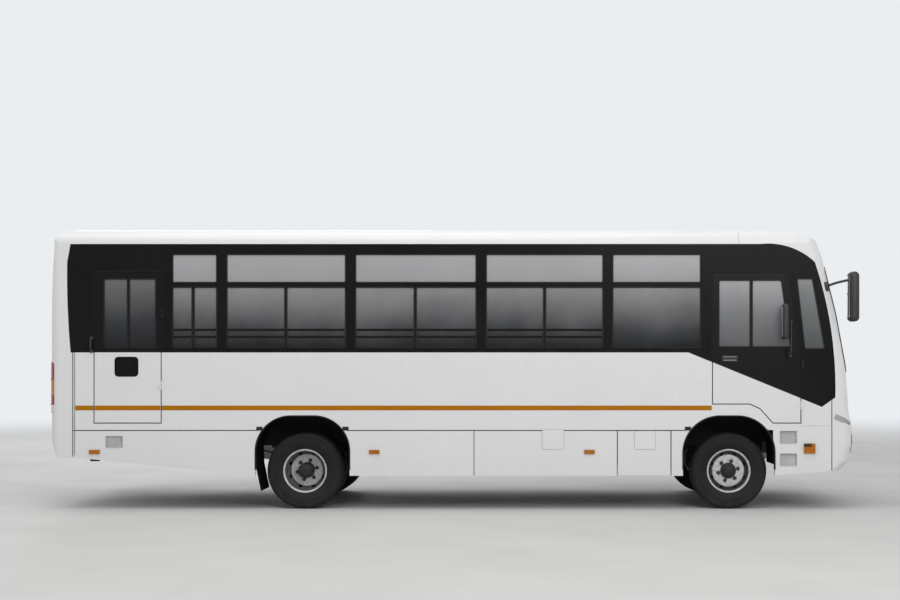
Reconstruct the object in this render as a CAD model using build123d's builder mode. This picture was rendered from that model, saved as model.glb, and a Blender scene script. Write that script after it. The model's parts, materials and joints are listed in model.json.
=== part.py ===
from build123d import *
from math import asin, degrees
import os

# A front-engined midi bus for staff or school runs, in millimetres.
# +X is forward, -Y is the driver's side (right-hand drive), +Z is up.
# The origin is on the ground under the middle of the body.
os.makedirs("parts", exist_ok=True)

# Body envelope
HALF_WIDTH = 1200.0
WALL = 40.0
REAR_X = -4588.0
FRONT_X = 4588.0
ROOF_TOP = 3210.0
EAVE_Z = 3000.0
WAIST_Z = 1774.0
SEAM_Z = 898.0
SEAM_GAP = 6.0
SKIRT_Z = 380.0
INNER_Y = HALF_WIDTH - WALL
OVER = 60.0

# Crown, corners and bow of the body
CROWN_SIDE = 190.0
CROWN_EDGE_Z = 3170.0
FRONT_CORNER = 130.0
CORNER_CHORDS = 6
REAR_CORNER = 120.0
BOW_RADIUS = 8000.0
TAIL_SPARE = 500.0
SIDE_SPARE = 0.3
NOSE_LEVELS = [
    # z and the x of the nose's middle line: chin, bumper, apron, windscreen, brow
    (300, 4300), (440, 4440), (540, 4540), (720, 4585), (930, 4588), (1110, 4552),
    (1622, 4516), (2198, 4411), (2853, 4249), (3300, 4080),
]
CROWN_FRONT = [(3300, ROOF_TOP), (3900, 3120), (4130, 3030), (4262, 2866)]

# Floor and frame levels
FLOOR_TOP = 985.0
FLOOR_THICK = 45.0
FLOOR_LOW = FLOOR_TOP - FLOOR_THICK
BEARER_HIGH = 80.0
RAIL_TOP = FLOOR_LOW - BEARER_HIGH
RAIL_HIGH = 180.0
RAIL_LOW = RAIL_TOP - RAIL_HIGH
RAIL_OUT = 425.0
RAIL_FLANGE = 65.0
RAIL_WALL = 8.0

# Wheels
TYRE_R = 430.0
TYRE_HALF = 115.0
BEAD_R = 236.0
SEAT_GAP = 0.2
FLANGE_R = 246.0
BARREL_HALF = 94.0
FLANGE_THICK = 7.0
FLANGE_AT = BARREL_HALF - FLANGE_THICK - SEAT_GAP
TRACK_OUT = 1035.0
TWIN_PITCH = 270.0
FRONT_AXLE_X = 3107.0
REAR_AXLE_X = -1704.0
AXLE_Z = TYRE_R
RUN_FIT = 0.05
SPINDLE_R = 32.0

# Wheel arches as they show in the side
ARCH_TOP = 1056.0
REAR_ARCH = (-2255.0, -1190.0, 400.0)
FRONT_ARCH = (2579.0, 3618.0, 420.0)
LINER = 10.0
LINER_SIDE = 20.0
LINER_IN_Y = 640.0
WELL_BOX_TOP = 1090.0

# Seams of the side
REAR_SEAM_X = -4320.0
FRONT_SEAM_X = 4262.0
BAND_REAR = [(-4343, WAIST_Z), (-4379, 2367), (-4382, 2797), (-4345, EAVE_Z)]
BAND_TOP_FRONT = [(3449, EAVE_Z), (3850, 2942), (4070, 2797)]
BAND_NOSE = [(4070, 2797), (4226, 2198), (4302, 1266)]
BAND_TIP = (4149, 1158)
BAND_KNEE = (2640, WAIST_Z)
HEADER_Z = 2797.0

# Doors: the openings in the wall
EMERGENCY = (-4077.0, -3320.0, 977.0, 2687.0)
DRIVER = (2913.0, 3912.0, 977.0, 2684.0)
DRIVER_SILL_Z = 1192.0
SERVICE = (1736.0, 2534.0, 395.0, 2687.0)
DOOR_GAP = 5.0
DOOR_THICK = 36.0
HINGE_OUT = 8.0

# Window openings of the driver's side: x0, x1, z0, z1
UPPER_Z = (2566.0, 2881.0)
LOWER_Z = (1830.0, 2510.0)
BAYS = [
    # x0, x1 of the bay, x of the upright between its two lower panes
    (-3188.0, -2692.0, -2958.0),
    (-2575.0, -1236.0, -1910.0),
    (-1121.0, 240.0, -447.0),
    (356.0, 1674.0, 1015.0),
    (1786.0, 2777.0, None),
]
UPRIGHT = 24.0
GLASS = 5.0
GLASS_INSET = 6.0
EMERGENCY_PANE = (-3964.0, -3382.0, 1830.0, 2604.0, -3689.0)
DRIVER_PANE = [(2985, 1838), (3796, 1838), (3692, 2590), (2985, 2590)]
QUARTER_PANE = [(3957, 1816), (4183, 1816), (4042, 2607), (3867, 2607)]
DRIVER_UPRIGHT_X = 3350.0

# Left wall: the service door stands in the fifth bay, a fixed pane closes the rear bay
LEFT_BAYS = [
    (-3964.0, -3382.0, -3689.0),
    (-3188.0, -2692.0, -2958.0),
    (-2575.0, -1236.0, -1910.0),
    (-1121.0, 240.0, -447.0),
    (356.0, 1640.0, 1015.0),
]
LEFT_CAB_PANE = [(2700, 1838), (3796, 1838), (3692, 2590), (2700, 2590)]

RIGHT_PLANE = Plane.XZ.offset(INNER_Y)
LEFT_PLANE = Plane.XZ.offset(-HALF_WIDTH)

# Foot steps sunk into the driver's side, access lids drawn by a groove, and the pulls of its doors
STEP_DEEP = 28.0
REAR_STEP = (-3947.0, -3755.0, 695.0, 831.0)
CAB_STEPS = [(3675.0, 3867.0, 743.0, 888.0), (3675.0, 3867.0, 489.0, 632.0)]
SKIRT_LID = (974.0, 1223.0, 695.0, 880.0)
FLAP_LID = (2025.0, 2262.0, 695.0, 872.0)
GROOVE = 4.0
GROOVE_DEEP = 3.0
PULL_CUP = (-3843.0, -3580.0, 1503.0, 1723.0)
PULL_CUP_R = 45.0
PULL_DEEP = 18.0
HANDLE_CUP = (3025.0, 3195.0, 1668.0, 1740.0)
HANDLE_BAR = 12.0

# Strap hinges outside the doors: a sleeve on the leaf turns on a pin between two knuckles on the wall
HINGE_LONG = 32.0
HINGE_GAP = 1.0
HINGE_SPARE = 0.5
HINGE_ROOT = 5.0
LEAF_STRAP = 57.0
WALL_STRAP = 36.0
STRAP_THICK = 5.0
HINGE_PIN_R = 3.0
DRIVER_HINGE_X = DRIVER[1] + DOOR_GAP / 2
DRIVER_HINGE_ZS = (1180.0, 1640.0)
EMERGENCY_HINGE_X = EMERGENCY[1] - DOOR_GAP / 2
EMERGENCY_HINGE_ZS = (1400.0, 2220.0)


def span_box(spans, y, deep):
    """A block over x0, x1, z0, z1 that reaches from y, on the skin, inwards by deep."""
    x0, x1, z0, z1 = spans
    with BuildPart() as made:
        with Locations(((x0 + x1) / 2, y + deep / 2, (z0 + z1) / 2)):
            Box(x1 - x0, deep, z1 - z0)
    return made.part


def groove_ring(spans):
    """The groove round a lid on the driver's side."""
    x0, x1, z0, z1 = spans
    with BuildPart() as made:
        with BuildSketch(Plane.XZ.offset(HALF_WIDTH - GROOVE_DEEP)):
            with Locations(((x0 + x1) / 2, (z0 + z1) / 2)):
                Rectangle(x1 - x0, z1 - z0)
                Rectangle(x1 - x0 - 2 * GROOVE, z1 - z0 - 2 * GROOVE, mode=Mode.SUBTRACT)
        extrude(amount=GROOVE_DEEP)
    return made.part


def hinge_half(x, z, on_leaf):
    """Half of a strap hinge on the driver's side: the leaf's sleeve, or the wall's two knuckles and pin."""
    line = Plane((x, -HALF_WIDTH - HINGE_OUT, z), x_dir=(-1, 0, 0), z_dir=(0, 0, 1))
    hand = 1 if on_leaf else -1
    strap = LEAF_STRAP if on_leaf else WALL_STRAP
    barrel_r = HINGE_OUT - HINGE_SPARE
    barrel = HINGE_LONG - HINGE_GAP
    strap_y = STRAP_THICK / 2 - HINGE_OUT
    with BuildPart(line) as half:
        for level in ([0.0] if on_leaf else [-HINGE_LONG, HINGE_LONG]):
            with Locations((0, 0, level)):
                Cylinder(barrel_r, barrel)
            with Locations((hand * (HINGE_ROOT + strap) / 2, strap_y, level)):
                Box(strap - HINGE_ROOT, STRAP_THICK, barrel)
        if on_leaf:
            Cylinder(HINGE_PIN_R + RUN_FIT, 2 * HINGE_LONG, mode=Mode.SUBTRACT)
        else:
            root = barrel_r + 2 * HINGE_GAP
            with Locations((hand * (root + strap) / 2, strap_y, 0)):
                Box(strap - root, STRAP_THICK, 3 * HINGE_LONG - HINGE_GAP)
            Cylinder(HINGE_PIN_R, 3 * HINGE_LONG - HINGE_GAP)
    return half.part


def body_mass(inset, z_low):
    """The closed outer form of the body, moved in by inset on every side."""
    half = HALF_WIDTH - inset
    side = half + SIDE_SPARE
    tail = REAR_X + inset
    front = FRONT_X + OVER
    bow = BOW_RADIUS - inset
    corner_r = FRONT_CORNER - inset
    # the angle that the bow has turned through where a corner takes over
    bow_turn = degrees(asin((side - corner_r) / (bow - corner_r)))
    corner_reach = ((bow - corner_r) ** 2 - (side - corner_r) ** 2) ** 0.5
    # the leaning, bowed nose: one plan outline carried up the lean of each level in turn
    with BuildPart() as nose:
        for (low_z, low_x), (high_z, high_x) in zip(NOSE_LEVELS[:-1], NOSE_LEVELS[1:]):
            centre = Vector(low_x - BOW_RADIUS + corner_reach, side - corner_r)
            turns = [bow_turn + (90 - bow_turn) * step / CORNER_CHORDS for step in range(CORNER_CHORDS + 1)]
            left = [centre + Vector(corner_r, 0).rotate(Axis.Z, turn) for turn in turns]
            right = [Vector(point.X, -point.Y) for point in left]
            with BuildSketch(Plane.XY.offset(low_z)):
                with BuildLine():
                    ThreePointArc(right[0], (low_x - inset, 0), left[0])
                    Polyline(*left, (tail - TAIL_SPARE, side), (tail - TAIL_SPARE, -side), *reversed(right))
                make_face()
            lean = Vector(high_x - low_x, 0, high_z - low_z)
            extrude(amount=lean.length, dir=lean)
    # tail, roof line and brow seen from the side
    with BuildPart() as profile:
        with BuildSketch(Plane.XZ):
            with BuildLine():
                low = ThreePointArc((tail + 83, 600), (tail + 24, 760), (tail, 1010))
                back = Line(low @ 1, (tail, WAIST_Z))
                lean = ThreePointArc(back @ 1, (tail + 16, 2367), (tail + 58, 2990))
                brow = ThreePointArc(lean @ 1, (tail + 105, 3120 - 0.7 * inset), (tail + 208, 3160 - inset))
                rise = Line(brow @ 1, (tail + 700, ROOF_TOP - inset))
                crown = Polyline(
                    rise @ 1, (CROWN_FRONT[0][0], ROOF_TOP - inset), (CROWN_FRONT[1][0], CROWN_FRONT[1][1] - inset),
                    (CROWN_FRONT[2][0] - 0.6 * inset, CROWN_FRONT[2][1] - 0.8 * inset),
                    (CROWN_FRONT[3][0] - inset, CROWN_FRONT[3][1]),
                )
                Polyline(crown @ 1, (front, CROWN_FRONT[3][1]), (front, z_low), (tail + 83, z_low), low @ 0)
            make_face()
        extrude(amount=HALF_WIDTH + OVER, both=True)
    # eaves and crown seen from behind
    with BuildPart() as section:
        with BuildSketch(Plane.YZ):
            with BuildLine():
                wall_a = Line((-half, z_low), (-half, EAVE_Z + 10))
                eave_a = ThreePointArc(wall_a @ 1, (-half + 50, 3120 - 0.6 * inset), (-half + CROWN_SIDE, CROWN_EDGE_Z - inset))
                arch = ThreePointArc(eave_a @ 1, (0, ROOF_TOP - inset), (half - CROWN_SIDE, CROWN_EDGE_Z - inset))
                eave_b = ThreePointArc(arch @ 1, (half - 50, 3120 - 0.6 * inset), (half, EAVE_Z + 10))
                wall_b = Line(eave_b @ 1, (half, z_low))
                Line(wall_b @ 1, wall_a @ 0)
            make_face()
        extrude(amount=FRONT_X + OVER, both=True)
    with BuildPart() as rear_corners:
        with BuildSketch(Plane.XY.offset(z_low)) as plan:
            with Locations(((tail + front) / 2, 0)):
                Rectangle(front - tail, 2 * side)
            fillet(plan.vertices().sort_by(Axis.X)[:2], REAR_CORNER - inset)
        extrude(amount=ROOF_TOP)
    with BuildPart() as rounded:
        add(nose.part)
        add(profile.part, mode=Mode.INTERSECT)
        add(section.part, mode=Mode.INTERSECT)
        add(rear_corners.part, mode=Mode.INTERSECT)
    return rounded.part


outer_form = body_mass(0.0, SKIRT_Z)
inner_form = body_mass(WALL, 300.0)
glass_outer = body_mass(GLASS_INSET, 300.0)
glass_inner = body_mass(GLASS_INSET + GLASS, 300.0)

with BuildPart() as shell:
    add(outer_form)
    add(inner_form, mode=Mode.SUBTRACT)

with BuildPart() as glass_shell:
    add(glass_outer)
    add(glass_inner, mode=Mode.SUBTRACT)

# Regions of the shell, drawn from the side and run across the whole width
with BuildPart() as band_region:
    with BuildSketch(Plane.XZ):
        with BuildLine():
            ThreePointArc(BAND_REAR[0], BAND_REAR[1], BAND_REAR[2])
            Line(BAND_REAR[2], BAND_REAR[3])
            Line(BAND_REAR[3], BAND_TOP_FRONT[0])
            ThreePointArc(BAND_TOP_FRONT[0], BAND_TOP_FRONT[1], BAND_TOP_FRONT[2])
            ThreePointArc(BAND_NOSE[0], BAND_NOSE[1], BAND_NOSE[2])
            Polyline(BAND_NOSE[2], BAND_TIP, BAND_KNEE, BAND_REAR[0])
        make_face()
    extrude(amount=HALF_WIDTH + OVER, both=True)

with BuildPart() as roof_region:
    with BuildSketch(Plane.XZ):
        with BuildLine():
            Polyline(BAND_TOP_FRONT[0], BAND_REAR[3], (REAR_X - OVER, EAVE_Z), (REAR_X - OVER, ROOF_TOP + OVER))
            Polyline((REAR_X - OVER, ROOF_TOP + OVER), (FRONT_X, ROOF_TOP + OVER), (FRONT_X, HEADER_Z), BAND_TOP_FRONT[2])
            ThreePointArc(BAND_TOP_FRONT[2], BAND_TOP_FRONT[1], BAND_TOP_FRONT[0])
        make_face()
    extrude(amount=HALF_WIDTH + OVER, both=True)

with BuildPart() as nose_region:
    with BuildSketch(Plane.XZ):
        with BuildLine():
            ThreePointArc(BAND_NOSE[0], BAND_NOSE[1], BAND_NOSE[2])
            seam_top = (FRONT_SEAM_X, BAND_TIP[1] + (FRONT_SEAM_X - BAND_TIP[0]) * (BAND_NOSE[2][1] - BAND_TIP[1]) / (BAND_NOSE[2][0] - BAND_TIP[0]))
            Polyline(BAND_NOSE[2], seam_top, (FRONT_SEAM_X, 435), (FRONT_X + OVER, 435), (FRONT_X + OVER, HEADER_Z), BAND_NOSE[0])
        make_face()
    extrude(amount=HALF_WIDTH + OVER, both=True)

with BuildPart() as tail_region:
    with BuildSketch(Plane.XZ):
        with BuildLine():
            ThreePointArc(BAND_REAR[0], BAND_REAR[1], BAND_REAR[2])
            Polyline(BAND_REAR[2], BAND_REAR[3], (REAR_X - OVER, EAVE_Z), (REAR_X - OVER, 585), (REAR_SEAM_X, 585))
            Polyline((REAR_SEAM_X, 585), (REAR_SEAM_X, WAIST_Z), BAND_REAR[0])
        make_face()
    extrude(amount=HALF_WIDTH + OVER, both=True)

# Roof
with BuildPart() as roof:
    add(shell.part)
    add(roof_region.part, mode=Mode.INTERSECT)
roof.part.label = "roof"
export_step(roof.part, "parts/roof.step")

# Windscreen and rear window openings, seen from the ends
SCREEN_LOW = 1560.0
SCREEN_HIGH = 2740.0
SCREEN_HALF = 1130.0
SCREEN_CUT = 48.0
REAR_PANE_LOW = 1830.0
REAR_PANE_HIGH = 2700.0
REAR_PANE_HALF = 900.0
LAMP_IN = 760.0
LAMP_OUT = 1110.0
LAMP_LOW = 640.0
LAMP_HIGH = 850.0
LAMP_CUT = 36.0
GRILLE_HALF = 520.0
GRILLE_LOW = 620.0
GRILLE_HIGH = 900.0
GRILLE_CUT = 30.0

with BuildPart() as screen_region:
    with BuildSketch(Plane.YZ.offset(3600)) as screen_face:
        with Locations((0, (SCREEN_LOW + SCREEN_HIGH) / 2)):
            Rectangle(2 * SCREEN_HALF, SCREEN_HIGH - SCREEN_LOW)
        chamfer(screen_face.vertices(), SCREEN_CUT)
    extrude(amount=1200)

with BuildPart() as lamp_region:
    with BuildSketch(Plane.YZ.offset(4100)) as lamp_face:
        with Locations(((LAMP_IN + LAMP_OUT) / 2, (LAMP_LOW + LAMP_HIGH) / 2), (-(LAMP_IN + LAMP_OUT) / 2, (LAMP_LOW + LAMP_HIGH) / 2)):
            Rectangle(LAMP_OUT - LAMP_IN, LAMP_HIGH - LAMP_LOW)
        chamfer(lamp_face.vertices(), LAMP_CUT)
    extrude(amount=600)

with BuildPart() as grille_region:
    with BuildSketch(Plane.YZ.offset(4200)) as grille_face:
        with Locations((0, (GRILLE_LOW + GRILLE_HIGH) / 2)):
            Rectangle(2 * GRILLE_HALF, GRILLE_HIGH - GRILLE_LOW)
        chamfer(grille_face.vertices(), GRILLE_CUT)
    extrude(amount=600)

with BuildPart() as front_fascia:
    add(shell.part)
    add(nose_region.part, mode=Mode.INTERSECT)
    add(screen_region.part, mode=Mode.SUBTRACT)
    add(lamp_region.part, mode=Mode.SUBTRACT)
    add(grille_region.part, mode=Mode.SUBTRACT)
front_fascia.part.label = "front_fascia"
export_step(front_fascia.part, "parts/front_fascia.step")

with BuildPart() as windshield:
    add(glass_shell.part)
    add(screen_region.part, mode=Mode.INTERSECT)
windshield.part.label = "windshield"
export_step(windshield.part, "parts/windshield.step")

with BuildPart() as headlamps:
    add(shell.part)
    add(lamp_region.part, mode=Mode.INTERSECT)
headlamps.part.label = "headlamps"
export_step(headlamps.part, "parts/headlamps.step")

# Grille of level bars between two end posts
GRILLE_BARS = 5
with BuildPart() as bar_region:
    with BuildSketch(Plane.YZ.offset(4200)):
        step = (GRILLE_HIGH - GRILLE_LOW) / GRILLE_BARS
        with Locations((0, (GRILLE_LOW + GRILLE_HIGH) / 2)):
            with GridLocations(0, step, 1, GRILLE_BARS):
                Rectangle(2 * GRILLE_HALF - 60, step * 0.55)
            with GridLocations(2 * GRILLE_HALF - 60, 0, 2, 1):
                Rectangle(60, GRILLE_HIGH - GRILLE_LOW - 20)
    extrude(amount=600)
with BuildPart() as grille:
    add(shell.part)
    add(grille_region.part, mode=Mode.INTERSECT)
    add(bar_region.part, mode=Mode.INTERSECT)
grille.part.label = "grille"
export_step(grille.part, "parts/grille.step")

# Rear fascia
with BuildPart() as rear_pane_region:
    with BuildSketch(Plane.YZ.offset(-4800)):
        with Locations((0, (REAR_PANE_LOW + REAR_PANE_HIGH) / 2)):
            RectangleRounded(2 * REAR_PANE_HALF, REAR_PANE_HIGH - REAR_PANE_LOW, 90)
    extrude(amount=600)

with BuildPart() as rear_fascia:
    add(shell.part)
    add(tail_region.part, mode=Mode.INTERSECT)
    add(rear_pane_region.part, mode=Mode.SUBTRACT)
rear_fascia.part.label = "rear_fascia"
export_step(rear_fascia.part, "parts/rear_fascia.step")

with BuildPart() as rear_window:
    add(glass_shell.part)
    add(rear_pane_region.part, mode=Mode.INTERSECT)
rear_window.part.label = "rear_window"
export_step(rear_window.part, "parts/rear_window.step")

# Tail lamps: upright clusters that stand proud of the rear corners
TAIL_LAMP = (1090.0, 1667.0)
TAIL_LAMP_IN = 1030.0
TAIL_PROUD = 10.0
lamp_outer = body_mass(-TAIL_PROUD, 1000.0)
with BuildPart() as tail_lamps:
    with BuildSketch(Plane.YZ.offset(-4700)):
        with Locations((0, (TAIL_LAMP[0] + TAIL_LAMP[1]) / 2)):
            with GridLocations(TAIL_LAMP_IN + HALF_WIDTH - 20, 0, 2, 1):
                RectangleRounded(HALF_WIDTH - 20 - TAIL_LAMP_IN, TAIL_LAMP[1] - TAIL_LAMP[0], 30)
    extrude(amount=220)
    add(lamp_outer, mode=Mode.INTERSECT)
    add(outer_form, mode=Mode.SUBTRACT)
tail_lamps.part.label = "tail_lamps"
export_step(tail_lamps.part, "parts/tail_lamps.step")

# Openings of the walls, drawn once and cut from band, side and skirt alike
def arch_sketch(arch, top, grow):
    """The wheel opening seen from the side: a box with two round upper corners."""
    x0, x1, corner = arch
    with BuildSketch() as outline:
        with BuildLine():
            left = x0 - grow
            right = x1 + grow
            high = top + grow
            r = corner
            b = 0.70711 * r
            Polyline((right, 100), (left, 100), (left, high - r))
            ThreePointArc((left, high - r), (left + r - b, high - r + b), (left + r, high))
            Line((left + r, high), (right - r, high))
            ThreePointArc((right - r, high), (right - r + b, high - r + b), (right, high - r))
            Line((right, high - r), (right, 100))
        make_face()
    return outline.sketch


with BuildPart() as arch_cuts:
    for arch in (REAR_ARCH, FRONT_ARCH):
        with BuildSketch(Plane.XZ):
            add(arch_sketch(arch, ARCH_TOP, 0.0))
        extrude(amount=HALF_WIDTH + OVER, both=True)

DRIVER_OUTLINE = [
    # rear sill, rounded step over the wheel arch, foot and the leaning front edge
    (DRIVER[0], DRIVER_SILL_Z), (3336, DRIVER_SILL_Z), (3450, 1140), (3596, DRIVER[2]),
    (DRIVER[1], DRIVER[2]), (DRIVER[1], 1700), (3780, DRIVER[3]), (DRIVER[0], DRIVER[3]),
]

with BuildPart() as right_cuts:
    with BuildSketch(Plane.XZ.offset(1000)):
        for x0, x1, post in BAYS:
            with Locations(((x0 + x1) / 2, sum(UPPER_Z) / 2)):
                Rectangle(x1 - x0, UPPER_Z[1] - UPPER_Z[0])
            for a, b in ([(x0, x1)] if post is None else [(x0, post - UPRIGHT / 2), (post + UPRIGHT / 2, x1)]):
                with Locations(((a + b) / 2, sum(LOWER_Z) / 2)):
                    Rectangle(b - a, LOWER_Z[1] - LOWER_Z[0])
        with Locations(((EMERGENCY[0] + EMERGENCY[1]) / 2, (EMERGENCY[2] + EMERGENCY[3]) / 2)):
            Rectangle(EMERGENCY[1] - EMERGENCY[0], EMERGENCY[3] - EMERGENCY[2])
        Polygon(*DRIVER_OUTLINE, align=None)
        Polygon(*QUARTER_PANE, align=None)
    extrude(amount=300)

with BuildPart() as left_cuts:
    with BuildSketch(Plane.XZ.offset(-1300)):
        for x0, x1, post in LEFT_BAYS:
            with Locations(((x0 + x1) / 2, sum(UPPER_Z) / 2)):
                Rectangle(x1 - x0, UPPER_Z[1] - UPPER_Z[0])
            for a, b in [(x0, post - UPRIGHT / 2), (post + UPRIGHT / 2, x1)]:
                with Locations(((a + b) / 2, sum(LOWER_Z) / 2)):
                    Rectangle(b - a, LOWER_Z[1] - LOWER_Z[0])
        with Locations(((SERVICE[0] + SERVICE[1]) / 2, (SERVICE[2] + SERVICE[3]) / 2)):
            Rectangle(SERVICE[1] - SERVICE[0], SERVICE[3] - SERVICE[2])
        Polygon(*LEFT_CAB_PANE, align=None)
        Polygon(*QUARTER_PANE, align=None)
    extrude(amount=300)

SIDE_OUTLINE = [
    (REAR_SEAM_X, SEAM_Z), (3600, SEAM_Z), (3600, 382), (FRONT_SEAM_X, 435), seam_top, BAND_TIP, BAND_KNEE,
    (REAR_SEAM_X, WAIST_Z),
]
for name, plane, cuts in (("right", RIGHT_PLANE, right_cuts), ("left", LEFT_PLANE, left_cuts)):
    with BuildPart() as band:
        with BuildSketch(plane):
            with BuildLine():
                ThreePointArc(BAND_REAR[0], BAND_REAR[1], BAND_REAR[2])
                Line(BAND_REAR[2], BAND_REAR[3])
                Line(BAND_REAR[3], BAND_TOP_FRONT[0])
                ThreePointArc(BAND_TOP_FRONT[0], BAND_TOP_FRONT[1], BAND_TOP_FRONT[2])
                ThreePointArc(BAND_NOSE[0], BAND_NOSE[1], BAND_NOSE[2])
                Polyline(BAND_NOSE[2], BAND_TIP, BAND_KNEE, BAND_REAR[0])
            make_face()
        extrude(amount=WALL)
        add(cuts.part, mode=Mode.SUBTRACT)
    band.part.label = f"window_band_{name}"
    export_step(band.part, f"parts/window_band_{name}.step")
    with BuildPart() as side:
        with BuildSketch(plane):
            Polygon(*SIDE_OUTLINE, align=None)
        extrude(amount=WALL)
        add(cuts.part, mode=Mode.SUBTRACT)
        add(arch_cuts.part, mode=Mode.SUBTRACT)
        if name == "right":
            for spans in CAB_STEPS:
                add(span_box(spans, -HALF_WIDTH, STEP_DEEP), mode=Mode.SUBTRACT)
    side.part.label = f"side_{name}"
    export_step(side.part, f"parts/side_{name}.step")

# Skirts: separate panels under the seam
SKIRT_TOP = SEAM_Z - SEAM_GAP
REAR_SKIRT = [(REAR_SEAM_X, 590), (-2314, SKIRT_Z), (-2000, SKIRT_Z), (-2000, SKIRT_TOP), (REAR_SEAM_X, SKIRT_TOP)]
FLAP = (1838.0, 2443.0)
RIGHT_SKIRTS = [(-1400.0, 214.0), (220.0, FLAP[0]), (FLAP[1], 2800.0)]
LEFT_SKIRTS = [(-1400.0, 214.0), (220.0, SERVICE[0])]
with BuildPart() as skirts:
    for plane, panels in ((RIGHT_PLANE, RIGHT_SKIRTS), (LEFT_PLANE, LEFT_SKIRTS)):
        with BuildSketch(plane):
            Polygon(*REAR_SKIRT, align=None)
            for x0, x1 in panels:
                with Locations(((x0 + x1) / 2, (SKIRT_Z + SKIRT_TOP) / 2)):
                    Rectangle(x1 - x0, SKIRT_TOP - SKIRT_Z)
        extrude(amount=WALL)
    add(arch_cuts.part, mode=Mode.SUBTRACT)
    add(span_box(REAR_STEP, -HALF_WIDTH, STEP_DEEP), mode=Mode.SUBTRACT)
    add(groove_ring(SKIRT_LID), mode=Mode.SUBTRACT)
skirts.part.label = "skirts"
export_step(skirts.part, "parts/skirts.step")

with BuildPart() as battery_flap:
    with BuildSketch(Plane.XZ.offset(HALF_WIDTH - DOOR_THICK)):
        with Locations(((FLAP[0] + FLAP[1]) / 2, (SKIRT_Z + SKIRT_TOP) / 2)):
            Rectangle(FLAP[1] - FLAP[0] - 2 * DOOR_GAP, SKIRT_TOP - SKIRT_Z - 2 * DOOR_GAP)
    extrude(amount=DOOR_THICK)
    add(groove_ring(FLAP_LID), mode=Mode.SUBTRACT)
battery_flap.part.label = "battery_flap"
export_step(battery_flap.part, "parts/battery_flap.step")

# Fixed side glass
with BuildPart() as side_glass:
    with BuildSketch(Plane.XZ.offset(HALF_WIDTH - GLASS_INSET - GLASS)):
        for x0, x1, post in BAYS:
            with Locations(((x0 + x1) / 2, sum(UPPER_Z) / 2)):
                Rectangle(x1 - x0, UPPER_Z[1] - UPPER_Z[0])
            for a, b in ([(x0, x1)] if post is None else [(x0, post - UPRIGHT / 2), (post + UPRIGHT / 2, x1)]):
                with Locations(((a + b) / 2, sum(LOWER_Z) / 2)):
                    Rectangle(b - a, LOWER_Z[1] - LOWER_Z[0])
        Polygon(*QUARTER_PANE, align=None)
    extrude(amount=GLASS)
    with BuildSketch(Plane.XZ.offset(-HALF_WIDTH + GLASS_INSET)):
        for x0, x1, post in LEFT_BAYS:
            with Locations(((x0 + x1) / 2, sum(UPPER_Z) / 2)):
                Rectangle(x1 - x0, UPPER_Z[1] - UPPER_Z[0])
            for a, b in [(x0, post - UPRIGHT / 2), (post + UPRIGHT / 2, x1)]:
                with Locations(((a + b) / 2, sum(LOWER_Z) / 2)):
                    Rectangle(b - a, LOWER_Z[1] - LOWER_Z[0])
        Polygon(*LEFT_CAB_PANE, align=None)
        Polygon(*QUARTER_PANE, align=None)
    extrude(amount=-GLASS)
side_glass.part.label = "side_glass"
export_step(side_glass.part, "parts/side_glass.step")

# Side doors
with BuildPart() as emergency_door:
    with BuildSketch(Plane.XZ.offset(HALF_WIDTH - DOOR_THICK)):
        with Locations(((EMERGENCY[0] + EMERGENCY[1]) / 2, (EMERGENCY[2] + EMERGENCY[3]) / 2)):
            Rectangle(EMERGENCY[1] - EMERGENCY[0] - 2 * DOOR_GAP, EMERGENCY[3] - EMERGENCY[2] - 2 * DOOR_GAP)
    extrude(amount=DOOR_THICK)
    with BuildSketch(Plane.XZ.offset(1000)):
        for a, b in ((EMERGENCY_PANE[0], EMERGENCY_PANE[4] - UPRIGHT / 2), (EMERGENCY_PANE[4] + UPRIGHT / 2, EMERGENCY_PANE[1])):
            with Locations(((a + b) / 2, (EMERGENCY_PANE[2] + EMERGENCY_PANE[3]) / 2)):
                Rectangle(b - a, EMERGENCY_PANE[3] - EMERGENCY_PANE[2])
    extrude(amount=300, mode=Mode.SUBTRACT)
    # the sunk cup of the door's latch
    with BuildSketch(Plane.XZ.offset(HALF_WIDTH - PULL_DEEP)):
        with Locations(((PULL_CUP[0] + PULL_CUP[1]) / 2, (PULL_CUP[2] + PULL_CUP[3]) / 2)):
            RectangleRounded(PULL_CUP[1] - PULL_CUP[0], PULL_CUP[3] - PULL_CUP[2], PULL_CUP_R)
    extrude(amount=PULL_DEEP, mode=Mode.SUBTRACT)
    for z in EMERGENCY_HINGE_ZS:
        add(hinge_half(EMERGENCY_HINGE_X, z, True))
emergency_door.part.label = "emergency_door"
export_step(emergency_door.part, "parts/emergency_door.step")

with BuildPart() as emergency_glass:
    with BuildSketch(Plane.XZ.offset(HALF_WIDTH - GLASS_INSET - GLASS)):
        for a, b in ((EMERGENCY_PANE[0], EMERGENCY_PANE[4] - UPRIGHT / 2), (EMERGENCY_PANE[4] + UPRIGHT / 2, EMERGENCY_PANE[1])):
            with Locations(((a + b) / 2, (EMERGENCY_PANE[2] + EMERGENCY_PANE[3]) / 2)):
                Rectangle(b - a, EMERGENCY_PANE[3] - EMERGENCY_PANE[2])
    extrude(amount=GLASS)
emergency_glass.part.label = "emergency_door_glass"
export_step(emergency_glass.part, "parts/emergency_door_glass.step")

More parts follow.
